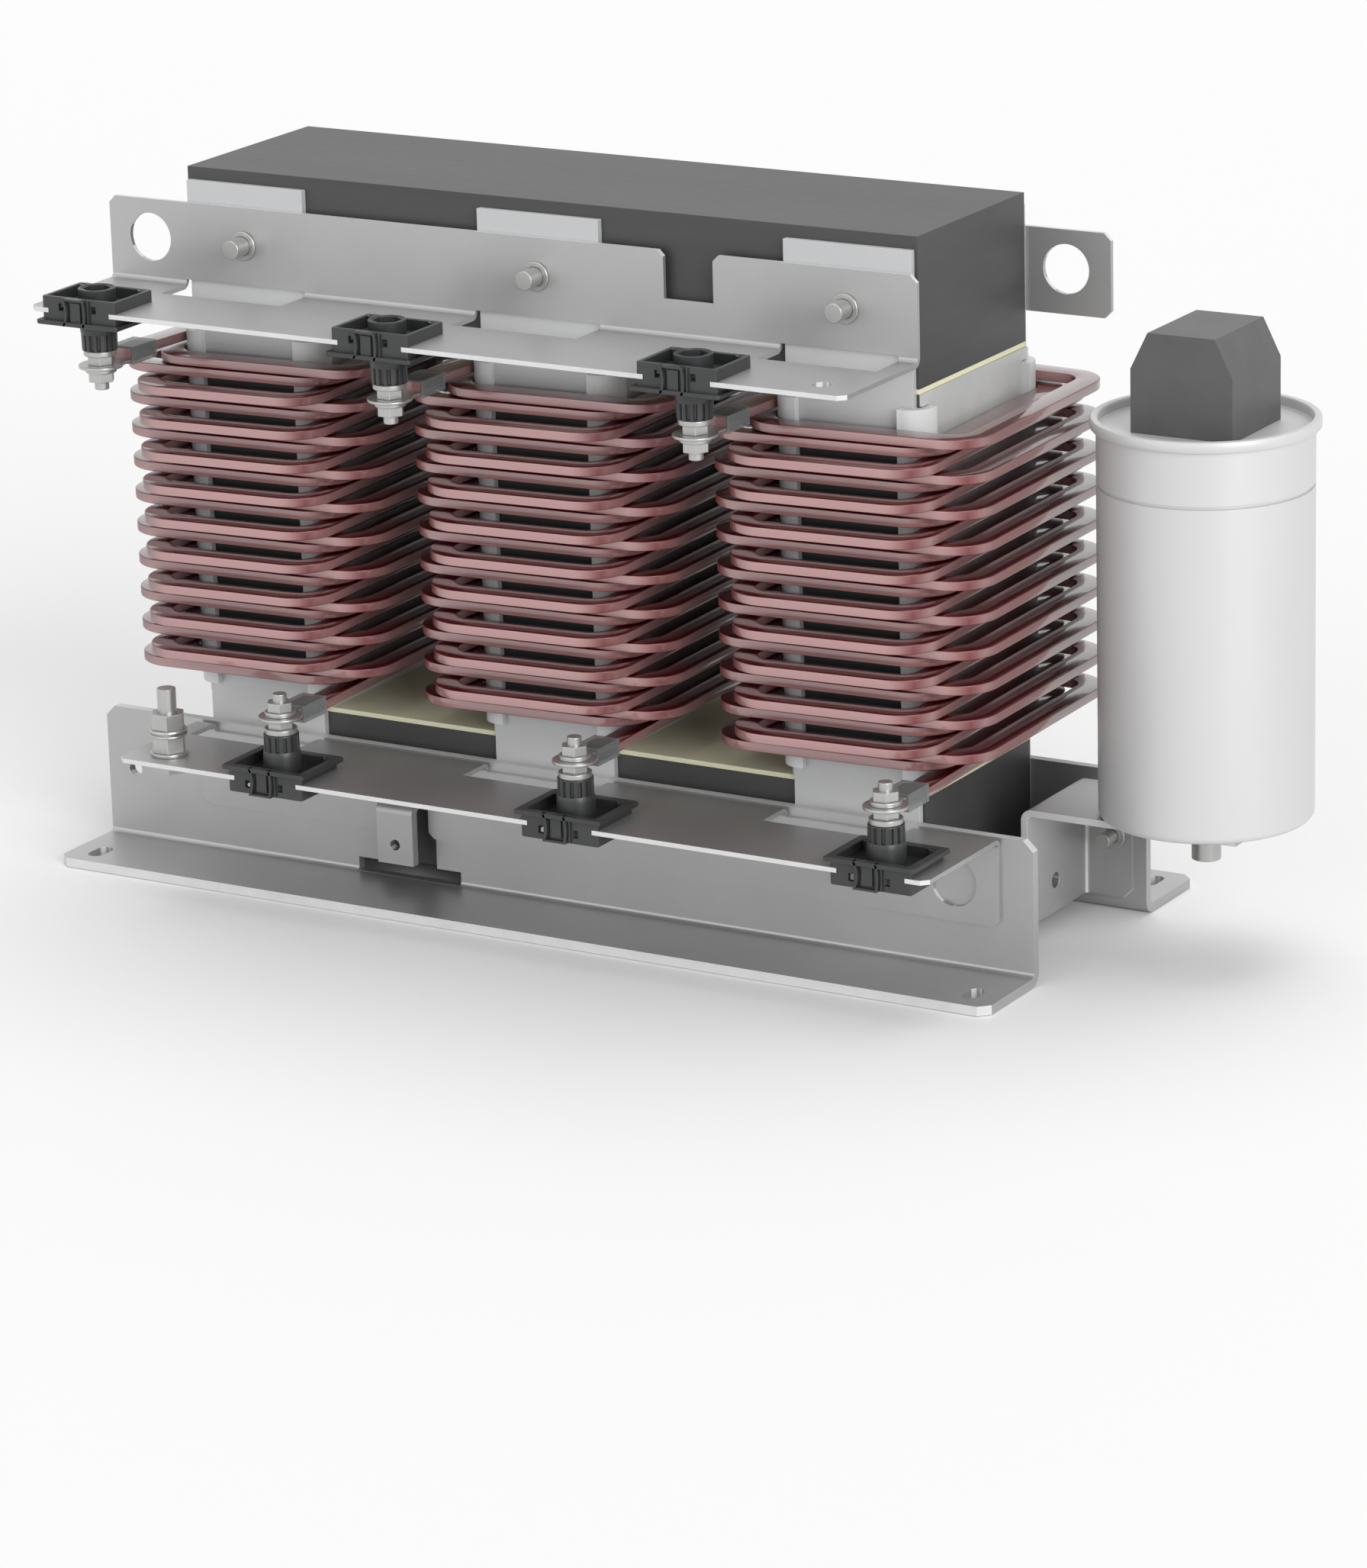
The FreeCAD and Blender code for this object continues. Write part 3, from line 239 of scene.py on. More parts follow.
def grey(value):
    """Linear grey from the value that a picture shows."""
    return srgb(value, value, value)


class Nodes:
    """Short calls that add nodes to a tree and join them."""

    def __init__(self, tree):
        self.tree = tree

    def add(self, kind, **inputs):
        """A new node, with values for its inputs by name."""
        item = self.tree.nodes.new(kind)
        for key, value in inputs.items():
            item.inputs[key.replace("_", " ")].default_value = value
        return item

    def join(self, source, output, target, socket):
        self.tree.links.new(source.outputs[output], target.inputs[socket])

    def calc(self, operation, *inputs):
        """A maths node on inputs that are numbers, or pairs of a node and its output."""
        item = self.add("ShaderNodeMath")
        item.operation = operation
        for socket, value in enumerate(inputs):
            if isinstance(value, tuple):
                self.join(value[0], value[1], item, socket)
            else:
                item.inputs[socket].default_value = value
        return item


class Finish(Nodes):
    """A new material, with calls for what its finishes have in common."""

    def __init__(self, name):
        self.material = bpy.data.materials.new(name)
        self.material.use_nodes = True
        super().__init__(self.material.node_tree)
        self.shader = self.tree.nodes["Principled BSDF"]

    def set(self, **inputs):
        """Values for inputs of the shader by name."""
        for key, value in inputs.items():
            self.shader.inputs[key.replace("_", " ")].default_value = value

    def parts(self, output):
        """The three parts of an object coordinate or of a normal."""
        where = self.add("ShaderNodeTexCoord")
        item = self.add("ShaderNodeSeparateXYZ")
        self.join(where, output, item, "Vector")
        return item

    def noise(self, scale, detail=3.0, rough=0.6, stretch=(1, 1, 1)):
        """Noise in object coordinates, stretched by a scale along each axis."""
        where = self.add("ShaderNodeTexCoord")
        turn = self.add("ShaderNodeMapping", Scale=stretch)
        item = self.add("ShaderNodeTexNoise", Scale=scale, Detail=detail, Roughness=rough)
        self.join(where, "Object", turn, "Vector")
        self.join(turn, "Vector", item, "Vector")
        return item

    def ramp(self, source, output, low, high, start=0.3, end=0.7):
        """A colour between low and high that follows a value."""
        item = self.add("ShaderNodeValToRGB")
        item.color_ramp.elements[0].position = start
        item.color_ramp.elements[1].position = end
        item.color_ramp.elements[0].color = low
        item.color_ramp.elements[1].color = high
        self.join(source, output, item, "Fac")
        return item

    def spread(self, source, output, low, high, start=0.0, end=1.0):
        """A number between low and high that follows a value from start to end."""
        item = self.add("ShaderNodeMapRange", To_Min=low, To_Max=high, From_Min=start, From_Max=end)
        self.join(source, output, item, "Value")
        return item

    def tint(self, colour, factor, output):
        """The base colour, made lighter or darker by a factor."""
        item = self.add("ShaderNodeHueSaturation")
        self.join(colour, "Color", item, "Color")
        self.join(factor, output, item, "Value")
        self.join(item, "Color", self.shader, "Base Color")

    def grain(self, scale, rough, bump, stretch=(1, 1, 1)):
        """Fine noise that varies the roughness and bumps the surface by a strength and a depth."""
        fine = self.noise(scale, 2.0, 0.5, stretch)
        self.join(self.spread(fine, "Fac", *rough), "Result", self.shader, "Roughness")
        relief = self.add("ShaderNodeBump", Strength=bump[0], Distance=bump[1])
        self.join(fine, "Fac", relief, "Height")
        self.join(relief, "Normal", self.shader, "Normal")


def surface(name, low, high, metal=0.0, rough=(0.4, 0.5), scale=60.0, stretch=(1, 1, 1),
            bump=(0.1, 0.0001), fine=900.0, alpha=1.0):
    """A finish whose colour drifts with a broad noise, and whose grain is a fine one."""
    mat = Finish(name)
    broad = mat.noise(scale, 4.0, 0.6, stretch)
    mat.join(mat.ramp(broad, "Fac", low, high), "Color", mat.shader, "Base Color")
    mat.grain(fine, rough, bump, stretch)
    mat.set(Metallic=metal, Alpha=alpha)
    return mat.material


def enamel(name, flat, bend, wide):
    """Wire enamel with painted light: deep on the wide faces of the conductor as painted shade, paler
    round its bends and along its edges, palest on its straight upright faces as a painted highlight, and
    darker on the sides that face X as painted shade.
    """
    mat = Finish(name)
    normal = mat.parts("Normal")
    across, along, upward = [mat.calc("ABSOLUTE", (normal, axis)) for axis in "XYZ"]
    upright = mat.calc("MAXIMUM", (across, 0), (along, 0))
    # Painted light by the way a face turns: upright faces get the pale painted highlight, wide faces the
    # deep painted shade, bends the tone between
    painted_light_tone = mat.ramp(upright, 0, wide, flat, start=0.55, end=0.99)
    painted_light_tone.color_ramp.elements.new(BEND_LEAN).color = bend
    # Faces turned to X are painted darker as painted shade, with a random drift of tone
    drift = mat.spread(mat.noise(30, 3.0, 0.5), "Fac", 0.94, 1.06)
    mat.tint(painted_light_tone, mat.calc("MULTIPLY_ADD", (across, 0), PAINTED_SIDE_SHADE, (drift, "Result")), 0)
    mat.grain(400, (0.28, 0.36), (0.03, 0.00004))
    flatness = mat.calc("MAXIMUM", (upright, 0), (upward, 0))
    for socket, low, high in (("Coat Weight", 0.3, 1.0), ("Specular IOR Level", 0.2, 0.5)):
        mat.join(mat.spread(flatness, 0, low, high, start=0.8, end=0.99), "Result", mat.shader, socket)
    mat.set(Coat_Roughness=0.05, Coat_IOR=1.8)
    return mat.material


def steel_with_painted_shade(name, steel_colour, painted_shade):
    """Bright steel painted dark along its middle length inside a coil, as painted shade, and not metallic
    there.
    """
    mat = Finish(name)
    away = mat.calc("SUBTRACT", (mat.parts("Object"), "Z"), PAINTED_SHADE_MIDDLE * MM)
    reach = mat.calc("ABSOLUTE", (away, 0))
    unshaded = mat.spread(reach, 0, 0, 1, (PAINTED_SHADE_HALF - PAINTED_SHADE_FADE) * MM, PAINTED_SHADE_HALF * MM)
    drift = mat.spread(mat.noise(12, 4.0, 0.6), "Fac", 0.97, 1.03)
    # Painted shade: the steel's colour turns dark over the middle length inside the coil
    mat.tint(mat.ramp(unshaded, "Result", painted_shade, steel_colour, start=0.0, end=1.0), drift, "Result")
    mat.join(mat.spread(unshaded, "Result", 0, 0.2), "Result", mat.shader, "Metallic")
    mat.grain(1200, (0.4, 0.46), (0.01, 0.00002))
    return mat.material


MATERIALS = {
    "core_steel": surface("core_varnish", grey(60), grey(66), rough=(0.45, 0.55), scale=25,
                          stretch=(0.2, 1, 6), fine=700),
    # Tie plates: the steel's colour, then the dark colour of their painted shade inside the coils
    "tie_steel": steel_with_painted_shade("tie_rolled_steel", srgb(192, 193, 194), srgb(50, 54, 54)),
    "bracket_steel": surface("bracket_zinc", grey(172), grey(178), metal=0.7, rough=(0.36, 0.44),
                             scale=18, bump=(0.03, 0.00003), fine=1600),
    "cut_edge": surface("sheared_edge", grey(206), grey(214), metal=0.1, rough=(0.4, 0.5), scale=90,
                        bump=(0.05, 0.00005), fine=2000),
    "zinc_steel": surface("bright_zinc", srgb(172, 172, 170), srgb(182, 182, 180), metal=0.75,
                          rough=(0.28, 0.34), scale=40, bump=(0.01, 0.00002), fine=2500),
    "can_aluminium": surface("can_satin", grey(198), grey(204), metal=0.15, rough=(0.4, 0.48),
                             scale=20, stretch=(1, 1, 0.2), bump=(0.04, 0.00004), fine=1500),
    # Coil enamel with painted light: pale painted highlight on upright faces, a middle tone round bends,
    # deep painted shade on the wide faces
    "coil_enamel": enamel("wire_enamel", srgb(168, 124, 123), srgb(130, 66, 68), srgb(86, 14, 18)),
    "gap_board": surface("board_laminate", srgb(222, 219, 188), srgb(232, 229, 200),
                         rough=(0.55, 0.7), scale=120, stretch=(0.3, 0.3, 4)),
    "post_plastic": surface("post_moulding", srgb(228, 230, 230), srgb(236, 238, 238),
                            rough=(0.3, 0.4), alpha=0.8),
    "sheet_plastic": surface("insulating_sheet", srgb(206, 208, 206), srgb(216, 218, 216),
                             rough=(0.25, 0.35), alpha=0.8),
    "holder_plastic": surface("holder_moulding", srgb(46, 47, 48), srgb(54, 55, 56),
                              rough=(0.32, 0.42)),
    "sleeve_plastic": surface("sleeve_moulding", srgb(120, 124, 124), srgb(136, 140, 140),
                              rough=(0.2, 0.3), scale=20, bump=(0.01, 0.00002), alpha=0.62),
    "cap_plastic": surface("cap_moulding", grey(80), grey(86), rough=(0.45, 0.55)),
}


def corner_key(mesh, number):
    """A corner's place on the grid, the same for corners that coincide."""
    return tuple(round(part * GRID) for part in mesh.vertices[number].co)


def patches(mesh, faces):
    """Splits faces of one plane into groups that touch."""
    left = list(faces)
    out = []
    while left:
        patch = [left.pop()]
        known = {corner_key(mesh, number) for number in patch[0].vertices}
        grown = True
        while grown:
            grown = False
            for face in list(left):
                keys = {corner_key(mesh, number) for number in face.vertices}
                if keys & known:
                    known |= keys
                    patch.append(face)
                    left.remove(face)
                    grown = True
        out.append(patch)
    return out


def strip_width(mesh, patch):
    """Twice the area over the length of the outline, which for a long strip is its width."""
    sides = {}
    for face in patch:
        keys = [corner_key(mesh, number) for number in face.vertices]
        for here, there in zip(keys, keys[1:] + keys[:1]):
            side = tuple(sorted((here, there)))
            sides[side] = sides.get(side, 0) + 1
    outline = [Vector(here) - Vector(there) for (here, there), count in sides.items() if count == 1]
    length = sum(side.length for side in outline) / GRID
    return 2 * sum(face.area for face in patch) / max(length, WELD_REACH)


def mark_edges(mesh):
    """Gives the cut edges of a sheet the second finish: flat strips no wider than it is thick."""
    planes = {}
    for face in mesh.polygons:
        normal = face.normal
        lean = abs(normal.x)
        straight = max(abs(part) for part in normal) > STRAIGHT_FACE
        if lean < END_FACE and (straight or lean > SLANTED_FACE):
            offset = round(normal.dot(face.center) / PLANE_STEP)
            plane = (tuple(round(part, 2) for part in normal), offset)
            planes.setdefault(plane, []).append(face)
    for faces in planes.values():
        for patch in patches(mesh, faces):
            if strip_width(mesh, patch) <= WIDEST_EDGE:
                for face in patch:
                    face.material_index = 1


def dress_nodes():
    """Gives every frame node its finish, welds its seams and rounds its sharp edges a little."""
    slots = {part["node"]: part["material_slot"] for part in frame["record"]["subparts"]}
    for name, item in NODES.items():
        item.data.materials.clear()
        item.data.materials.append(MATERIALS[slots[name]])
        if slots[name] in SHEET_SLOTS:
            item.data.materials.append(MATERIALS["cut_edge"])
            mark_edges(item.data)
        weld = item.modifiers.new("weld", "WELD")
        weld.merge_threshold = WELD_REACH
        plain = item.modifiers.new("plain", "DECIMATE")
        plain.decimate_type = "DISSOLVE"
        plain.angle_limit = math.radians(FLAT_ANGLE)
        plain.delimit = {"MATERIAL"}
        bevel = item.modifiers.new("edge", "BEVEL")
        bevel.width = FASTENER_BEVEL if slots[name] == "zinc_steel" else BEVEL
        bevel.segments = BEVEL_STEPS
        bevel.limit_method = "ANGLE"
        bevel.angle_limit = math.radians(BEVEL_ANGLE)
        bevel.use_clamp_overlap = True
        even = item.modifiers.new("even", "WEIGHTED_NORMAL")
        even.mode = "FACE_AREA"
        even.weight = AREA_WEIGHT
        for face in item.data.polygons:
            face.use_smooth = True


def mesh_piece(name, form, material, smooth=True):
    """A finished mesh piece in metres, from points in millimetres and faces."""
    points, faces = form
    mesh = bpy.data.meshes.new(name)
    mesh.from_pydata([Vector(point) * MM for point in points], [], faces)
    mesh.materials.append(material)
    mesh.update()
    shell = bmesh.new()
    shell.from_mesh(mesh)
    bmesh.ops.recalc_face_normals(shell, faces=shell.faces)
    shell.to_mesh(mesh)
    shell.free()
    item = bpy.data.objects.new(name, mesh)
    bpy.context.scene.collection.objects.link(item)
    for face in mesh.polygons:
        face.use_smooth = smooth
    return item


def finish_piece(item, slot, *nodes):
    """Ties a piece to the body and hides the frame nodes that it stands for; its slot is not used."""
    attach(item, "root")
    if nodes:
        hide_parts(*nodes)
    return item


def sharp(item, degrees):
    """Keeps edges sharp that turn by more than some degrees."""
    split = item.modifiers.new("sharp", "EDGE_SPLIT")
    split.split_angle = math.radians(degrees)
    return item


def rings(points_by_ring, closed_ends=True):
    """Joins rings of equally many points into a skin, and closes its two ends."""
    count = len(points_by_ring[0])
    points = [point for ring in points_by_ring for point in ring]
    faces = []
    for index in range(len(points_by_ring) - 1):
        start = index * count
        above = start + count
        for step in range(count):
            following = (step + 1) % count
            faces.append((start + step, start + following, above + following, above + step))
    if closed_ends:
        faces.append(tuple(range(count)))
        faces.append(tuple(range(len(points) - count, len(points))))
    return points, faces


def rounded(half_x, half_y, radius, level, steps=6):
    """A ring of points round an upright block with rounded corners."""
    out = []
    for sign_x, sign_y, start in ((1, 1, 0), (-1, 1, 90), (-1, -1, 180), (1, -1, 270)):
        for step in range(steps + 1):
            angle = math.radians(start + 90 * step / steps)
            out.append((sign_x * (half_x - radius) + radius * math.cos(angle),
                        sign_y * (half_y - radius) + radius * math.sin(angle), level))
    return out


def ring_of(radius_at, level, count=RING_POINTS):
    """A ring of points whose radius follows a function of the angle."""
    out = []
    for step in range(count):
        angle = 2 * math.pi * step / count
        radius = radius_at(angle)
        out.append((radius * math.cos(angle), radius * math.sin(angle), level))
    return out


def circle(radius, level, count=RING_POINTS):
    """A round ring of points."""
    return ring_of(lambda angle: radius, level, count)


def six_sided(flats, level):
    """A ring of points round a hexagon, from its width across flats."""
    def radius_at(angle):
        turn = (angle + math.pi / 6) % (math.pi / 3) - math.pi / 6
        return flats / 2 / math.cos(turn)
    return ring_of(radius_at, level)


def fluted(radius, level):
    """A round ring of points with upright flutes."""
    def radius_at(angle):
        part = (angle * FLUTES / (2 * math.pi)) % 1
        return radius if part < FLUTE_SHARE else radius - FLUTE_DEPTH
    return ring_of(radius_at, level)


def slab(x, y, z):
    """Eight corners and six faces of a block between two ends along each axis."""
    points = [(a, b, c) for c in z for b in y for a in x]
    faces = [(0, 1, 3, 2), (4, 6, 7, 5), (0, 4, 5, 1), (2, 3, 7, 6), (0, 2, 6, 4), (1, 5, 7, 3)]
    return points, faces


def together(parts):
    """One list of points and faces from several."""
    points, faces = [], []
    for more_points, more_faces in parts:
        start = len(points)
        points += more_points
        faces += [tuple(start + number for number in face) for face in more_faces]
    return points, faces


def coil_sides():
    """Centre lines of the sides of the three footprints that the turns cycle through."""
    half = CONDUCTOR_WIDTH / 2
    near_x = LIMB_HALF + POST_WALL_SIDE + COIL_CLEARANCE + half
    near_y = TIE_FACE + POST_WALL_FRONT + COIL_CLEARANCE + half
    deep_x = near_x + DEEP_SPREAD
    deep_y = near_y + DEEP_REACH
    shift = 2 * SIDE_SHIFT
    return [
        {"left": -near_x, "right": near_x + shift, "front": -near_y, "rear": near_y},
        {"left": -near_x - shift, "right": near_x, "front": -near_y, "rear": near_y},
        {"left": -deep_x, "right": deep_x, "front": -deep_y, "rear": deep_y},
    ]


def coil_path():
    """Corner points of the conductor from the top lead to the bottom one."""
    cycle = coil_sides()
    last = cycle[(TURNS - 1) % len(cycle)]
    drop = TURN_PITCH / 4
    half = CONDUCTOR_THICKNESS / 2
    shelf_front = -(TIE_FACE + BRACKET_SHEET + SHELF_DEPTH)
    low_front = shelf_front - FOOT_SHEET
    sleeve_rear = SLEEVE_INSET + SLEEVE_LENGTH
    top_lead = UPPER_SHELF - LUG_LEVEL + half
    low_lead = LOWER_SHELF + LUG_LEVEL - half
    left = cycle[0]["left"]
    level = UPPER_SHELF - COIL_START_DROP
    points = [(left, shelf_front + LEAD_INSET, top_lead), (left, shelf_front + sleeve_rear, top_lead)]
    for turn in range(TURNS):
        sides = cycle[turn % len(cycle)]
        points.append((left, sides["rear"], level))
        points.append((sides["right"], sides["rear"], level - drop))
        points.append((sides["right"], sides["front"], level - 2 * drop))
        points.append((sides["left"], sides["front"], level - 3 * drop))
        left = sides["left"]
        level -= 4 * drop
    points.append((left, last["rear"], level))
    points.append((last["right"], last["rear"], level - drop))
    points.append((last["right"], low_front + sleeve_rear, low_lead))
    points.append((last["right"], low_front + LEAD_INSET, low_lead))
    return points


def coil_stations(limb_x):
    """Places along the conductor: centre, direction away from the limb, and level."""
    radius = COIL_CORNER - CONDUCTOR_WIDTH / 2
    path = coil_path()
    last = len(path) - 1
    out = []
    for index, (x, y, level) in enumerate(path):
        corner = Vector((limb_x + x, y, 0))
        near = path[max(index - 1, 0)]
        far = path[min(index + 1, last)]
        before = Vector((x - near[0], y - near[1], 0))
        after = Vector((far[0] - x, far[1] - y, 0))
        before = (before if index > 0 else after).normalized()
        after = (after if index < last else before).normalized()
        side = Vector((-before.y, before.x, 0))
        if (after - before).length < LEAST_BEND:
            out.append((corner, side, level))
            continue
        centre = corner - before * radius + after * radius
        turned = Vector((-after.y, after.x, 0))
        for step in range(BEND_STEPS + 1):
            angle = math.pi / 2 * step / BEND_STEPS
            way = side * math.cos(angle) + turned * math.sin(angle)
            out.append((centre + way * radius, way, level))
    return out


def coils():
    """The three coils: one flat conductor each, swept along its path."""
    section = rounded(CONDUCTOR_WIDTH / 2, CONDUCTOR_THICKNESS / 2, CONDUCTOR_EDGE, 0, steps=3)
    for name, limb_x in LIMB_X.items():
        sweep = []
        for centre, way, level in coil_stations(limb_x):
            sweep.append([centre + way * across + Vector((0, 0, level + up)) for across, up, _ in section])
        piece = mesh_piece("winding_" + name, rings(sweep), MATERIALS["coil_enamel"])
        finish_piece(sharp(piece, COIL_SHARP), "coil_enamel", "coil_" + name)


def holder_tray():
    """The frame of a holder: rim, neck in the shelf's notch, skirt and flange, hollow on both sides."""
    wide, deep = HOLDER_HALF
    in_x, in_y = wide - HOLDER_WALL, deep - HOLDER_WALL
    out_x, out_y = FLANGE_HALF
    far = HOLDER_FAR
    outline = [
        (AXIS, AXIS, AXIS / 2, -HOLDER_FLOOR),
        (in_x, in_y, INSIDE_CORNER, -HOLDER_FLOOR),
        (in_x, in_y, INSIDE_CORNER, far + EDGE),
        (in_x + EDGE, in_y + EDGE, INSIDE_CORNER, far),
        (wide - EDGE, deep - EDGE, RIM_CORNER, far),
        (wide, deep, BODY_CORNER, far + EDGE),
        (wide, deep, BODY_CORNER, -NECK_LEVEL),
        (NECK_HALF_WIDTH, deep, NECK_CORNER, -NECK_LEVEL),
        (NECK_HALF_WIDTH, deep, NECK_CORNER, NECK_LEVEL),
        (wide, deep, BODY_CORNER, NECK_LEVEL),
        (wide, deep, BODY_CORNER, SKIRT_END),
        (out_x - FINE_EDGE, out_y - FINE_EDGE, FLANGE_CORNER, SKIRT_END),
        (out_x, out_y, FLANGE_CORNER, SKIRT_END + FINE_EDGE),
        (out_x, out_y, FLANGE_CORNER, FLANGE_END - EDGE),
        (out_x - EDGE, out_y - EDGE, FLANGE_CORNER, FLANGE_END),
        (in_x + EDGE, in_y + EDGE, INSIDE_CORNER, FLANGE_END),
        (in_x, in_y, INSIDE_CORNER, FLANGE_END - EDGE),
        (in_x, in_y, INSIDE_CORNER, HOLDER_FLOOR),
        (AXIS, AXIS, AXIS / 2, HOLDER_FLOOR),
    ]
    return rings([rounded(*place) for place in outline])


def holder_boss():
    """The round boss with a six sided socket in its end."""
    rim = BOSS_RADIUS - BOSS_RIM
    ledge = BOSS_TOP + SOCKET_STEP
    bottom = BOSS_TOP + SOCKET_DEPTH
    return rings([
        circle(AXIS, 0), circle(BOSS_RADIUS, 0), circle(BOSS_RADIUS, BOSS_TOP + EDGE),
        circle(BOSS_RADIUS - EDGE, BOSS_TOP), circle(rim, BOSS_TOP), circle(rim - FINE_EDGE, ledge),
        six_sided(SOCKET_FLATS, ledge), six_sided(SOCKET_FLATS, bottom), circle(AXIS, bottom),
    ])


def holder_stem():
    """The tapered stem and the fluted bush at its end."""
    root, waist, neck = STEM_RADII
    base, lip, end = BUSH_RADII
    return rings([
        circle(AXIS, 0), circle(root, 0), circle(waist, STEM_END - STEM_TAPER), circle(neck, STEM_END),
        circle(base, STEM_END + FINE_EDGE), fluted(base, STEM_END + EDGE),
        fluted(lip, BUSH_END - BUSH_LIP), circle(lip, BUSH_END - BUSH_LIP_EDGE),
        circle(end, BUSH_END), circle(AXIS, BUSH_END),
    ])


def span(sign, low, high):
    """Two ends along X that stay where they are when the lower row is turned over."""
    return (low, high) if sign > 0 else (-high, -low)


def holder_latch(sign):
    """The latch in front: two curved ribs with a bar across them, a tongue behind and a guide beside."""
    front, back = -FLANGE_HALF[1], FINE_EDGE - HOLDER_HALF[1]
    half_steps = LATCH_RIB_STEPS / 2
    parts = []
    for place, swell in LATCH_RIBS:
        outline = []
        for step in range(LATCH_RIB_STEPS + 1):
            level = HOLDER_FAR + step * (FLANGE_END - HOLDER_FAR) / LATCH_RIB_STEPS
            middle = sign * (place + swell * (1 - (step / half_steps - 1) ** 2))
            low, high = middle - LATCH_RIB_HALF, middle + LATCH_RIB_HALF
            outline.append([(low, front, level), (high, front, level),
                            (high, back, level), (low, back, level)])
        parts.append(rings(outline))
    for ends, proud, levels in LATCH_BLOCKS:
        parts.append(slab(span(sign, *ends), (-HOLDER_HALF[1] - proud, back), levels))
    return together(parts)


def screw_eye(x, y, low, high):
    """A screw eye in a corner of the tray, open at both ends."""
    outer, inner = SCREW_EYE_RADII
    outline = [(outer, low), (outer, high), (inner, high), (inner, low), (outer, low)]
    return rings([[(x + px, y + py, pz) for px, py, pz in circle(*place)] for place in outline], False)


def screw_eyes():
    """The screw eyes of a holder, on both sides of its floor."""
    sides = ((-HOLDER_FLOOR, HOLDER_FAR + SCREW_EYE_DROP), (HOLDER_FLOOR, FLANGE_END - SCREW_EYE_DROP))
    return [screw_eye(*place, *ends) for place in SCREW_EYE_PLACES for ends in sides]


def carve(item, cutters):
    """Cuts the blocks of a list out of a piece for good."""
    for number, block in enumerate(cutters):
        tool = mesh_piece("%s_tool_%d" % (item.name, number), block, item.data.materials[0])
        step = item.modifiers.new("cut", "BOOLEAN")
        step.operation = "DIFFERENCE"
        step.solver = "EXACT"
        step.object = tool
        solved = item.evaluated_get(bpy.context.evaluated_depsgraph_get())
        cut_mesh = bpy.data.meshes.new_from_object(solved)
        item.modifiers.clear()
        item.data = cut_mesh
        bpy.data.objects.remove(tool)


def settled(form, sign, centre_x, depth, shelf):
    """A holder's form at its place on a shelf, turned over in the lower row."""
    points, faces = form
    return [(centre_x + sign * x, depth + y, shelf - sign * level) for x, y, level in points], faces


def holders():
    """The six terminal holders, each in two pieces: the tray with its windows, and what stands on it."""
    plastic = MATERIALS["holder_plastic"]
    for row, (sign, shelf, depth) in ROWS.items():
        windows = [slab(span(sign, x - WINDOW_HALF, x + WINDOW_HALF), WINDOW_DEPTHS, WINDOW_LEVELS)
                   for x in WINDOW_PLACES]
        fittings = together([holder_boss(), holder_stem(), holder_latch(sign)] + screw_eyes())
        for limb, limb_x in LIMB_X.items():
            name = "holder_%s_%s" % (row, limb)
            place = (sign, limb_x - sign * TERMINAL_OFFSET, depth, shelf)
            tray = mesh_piece(name, settled(holder_tray(), *place), plastic)
            carve(tray, [settled(window, *place) for window in windows])
            fitted = mesh_piece(name + "_fittings", settled(fittings, *place), plastic)
            for piece in (tray, fitted):
                sharp(piece, HOLDER_SHARP)
                finish_piece(piece, "holder_plastic", "terminal_holder_%s_%s" % (row, limb))


def side_sheets():
    """The insulating sheets beside each limb: between the posts, and wider above and below them."""
    low, high = SIDE_SHEET_ENDS
    post_low, post_high = POST_ENDS[0] - POST_GAP, POST_ENDS[1] + POST_GAP
    wide, slim = CORE_HALF_DEPTH, SIDE_SHEET_HALF
    half = [(wide, low), (wide, post_low), (slim, post_low),
            (slim, post_high), (wide, post_high), (wide, high)]
    outline = half + [(-y, z) for y, z in reversed(half)]
    for name, limb_x in LIMB_X.items():
        parts = []
        for side in (-1, 1):
            faces_x = (limb_x + side * LIMB_HALF, limb_x + side * (LIMB_HALF + SIDE_SHEET))
            parts.append(rings([[(x, y, z) for y, z in outline] for x in faces_x]))
        piece = mesh_piece("limb_sheets_" + name, together(parts), MATERIALS["sheet_plastic"], False)
        finish_piece(piece, "sheet_plastic", "side_sheets_" + name)


def can():
    """The drawn can with its rounded foot, groove, rolled rim and flat lid."""
    profile = [(AXIS / 2, 0), (CAN_RADIUS - CAN_FOOT, 0)]
    for step in range(1, CAN_FOOT_STEPS + 1):
        angle = math.pi / 2 * step / CAN_FOOT_STEPS
        profile.append((CAN_RADIUS - CAN_FOOT * (1 - math.sin(angle)), CAN_FOOT * (1 - math.cos(angle))))
    for rise, depth in CAN_GROOVE:
        profile.append((CAN_RADIUS - depth, CAN_HEIGHT - CAN_GROOVE_DROP + rise))
    base = CAN_HEIGHT - CAN_RIM_HEIGHT
    lid = CAN_HEIGHT - CAN_LID_DEPTH
    for radius, height, steps in ((CAN_RADIUS, base, RIM_ROOT), (CAN_RIM, base, RIM_SIDE),
                                  (CAN_RIM, CAN_HEIGHT, RIM_TOP), (CAN_RIM, lid, RIM_LID)):
        profile += [(radius + out, height + up) for out, up in steps]
    profile.append((AXIS / 2, lid))
    turned = [[CAN_PLACE + Vector(point) for point in circle(radius, height, CAN_POINTS)]
              for radius, height in profile]
    piece = mesh_piece("can_shell", rings(turned), MATERIALS["can_aluminium"])
    finish_piece(sharp(piece, CAN_SHARP), "can_aluminium", "capacitor_can")


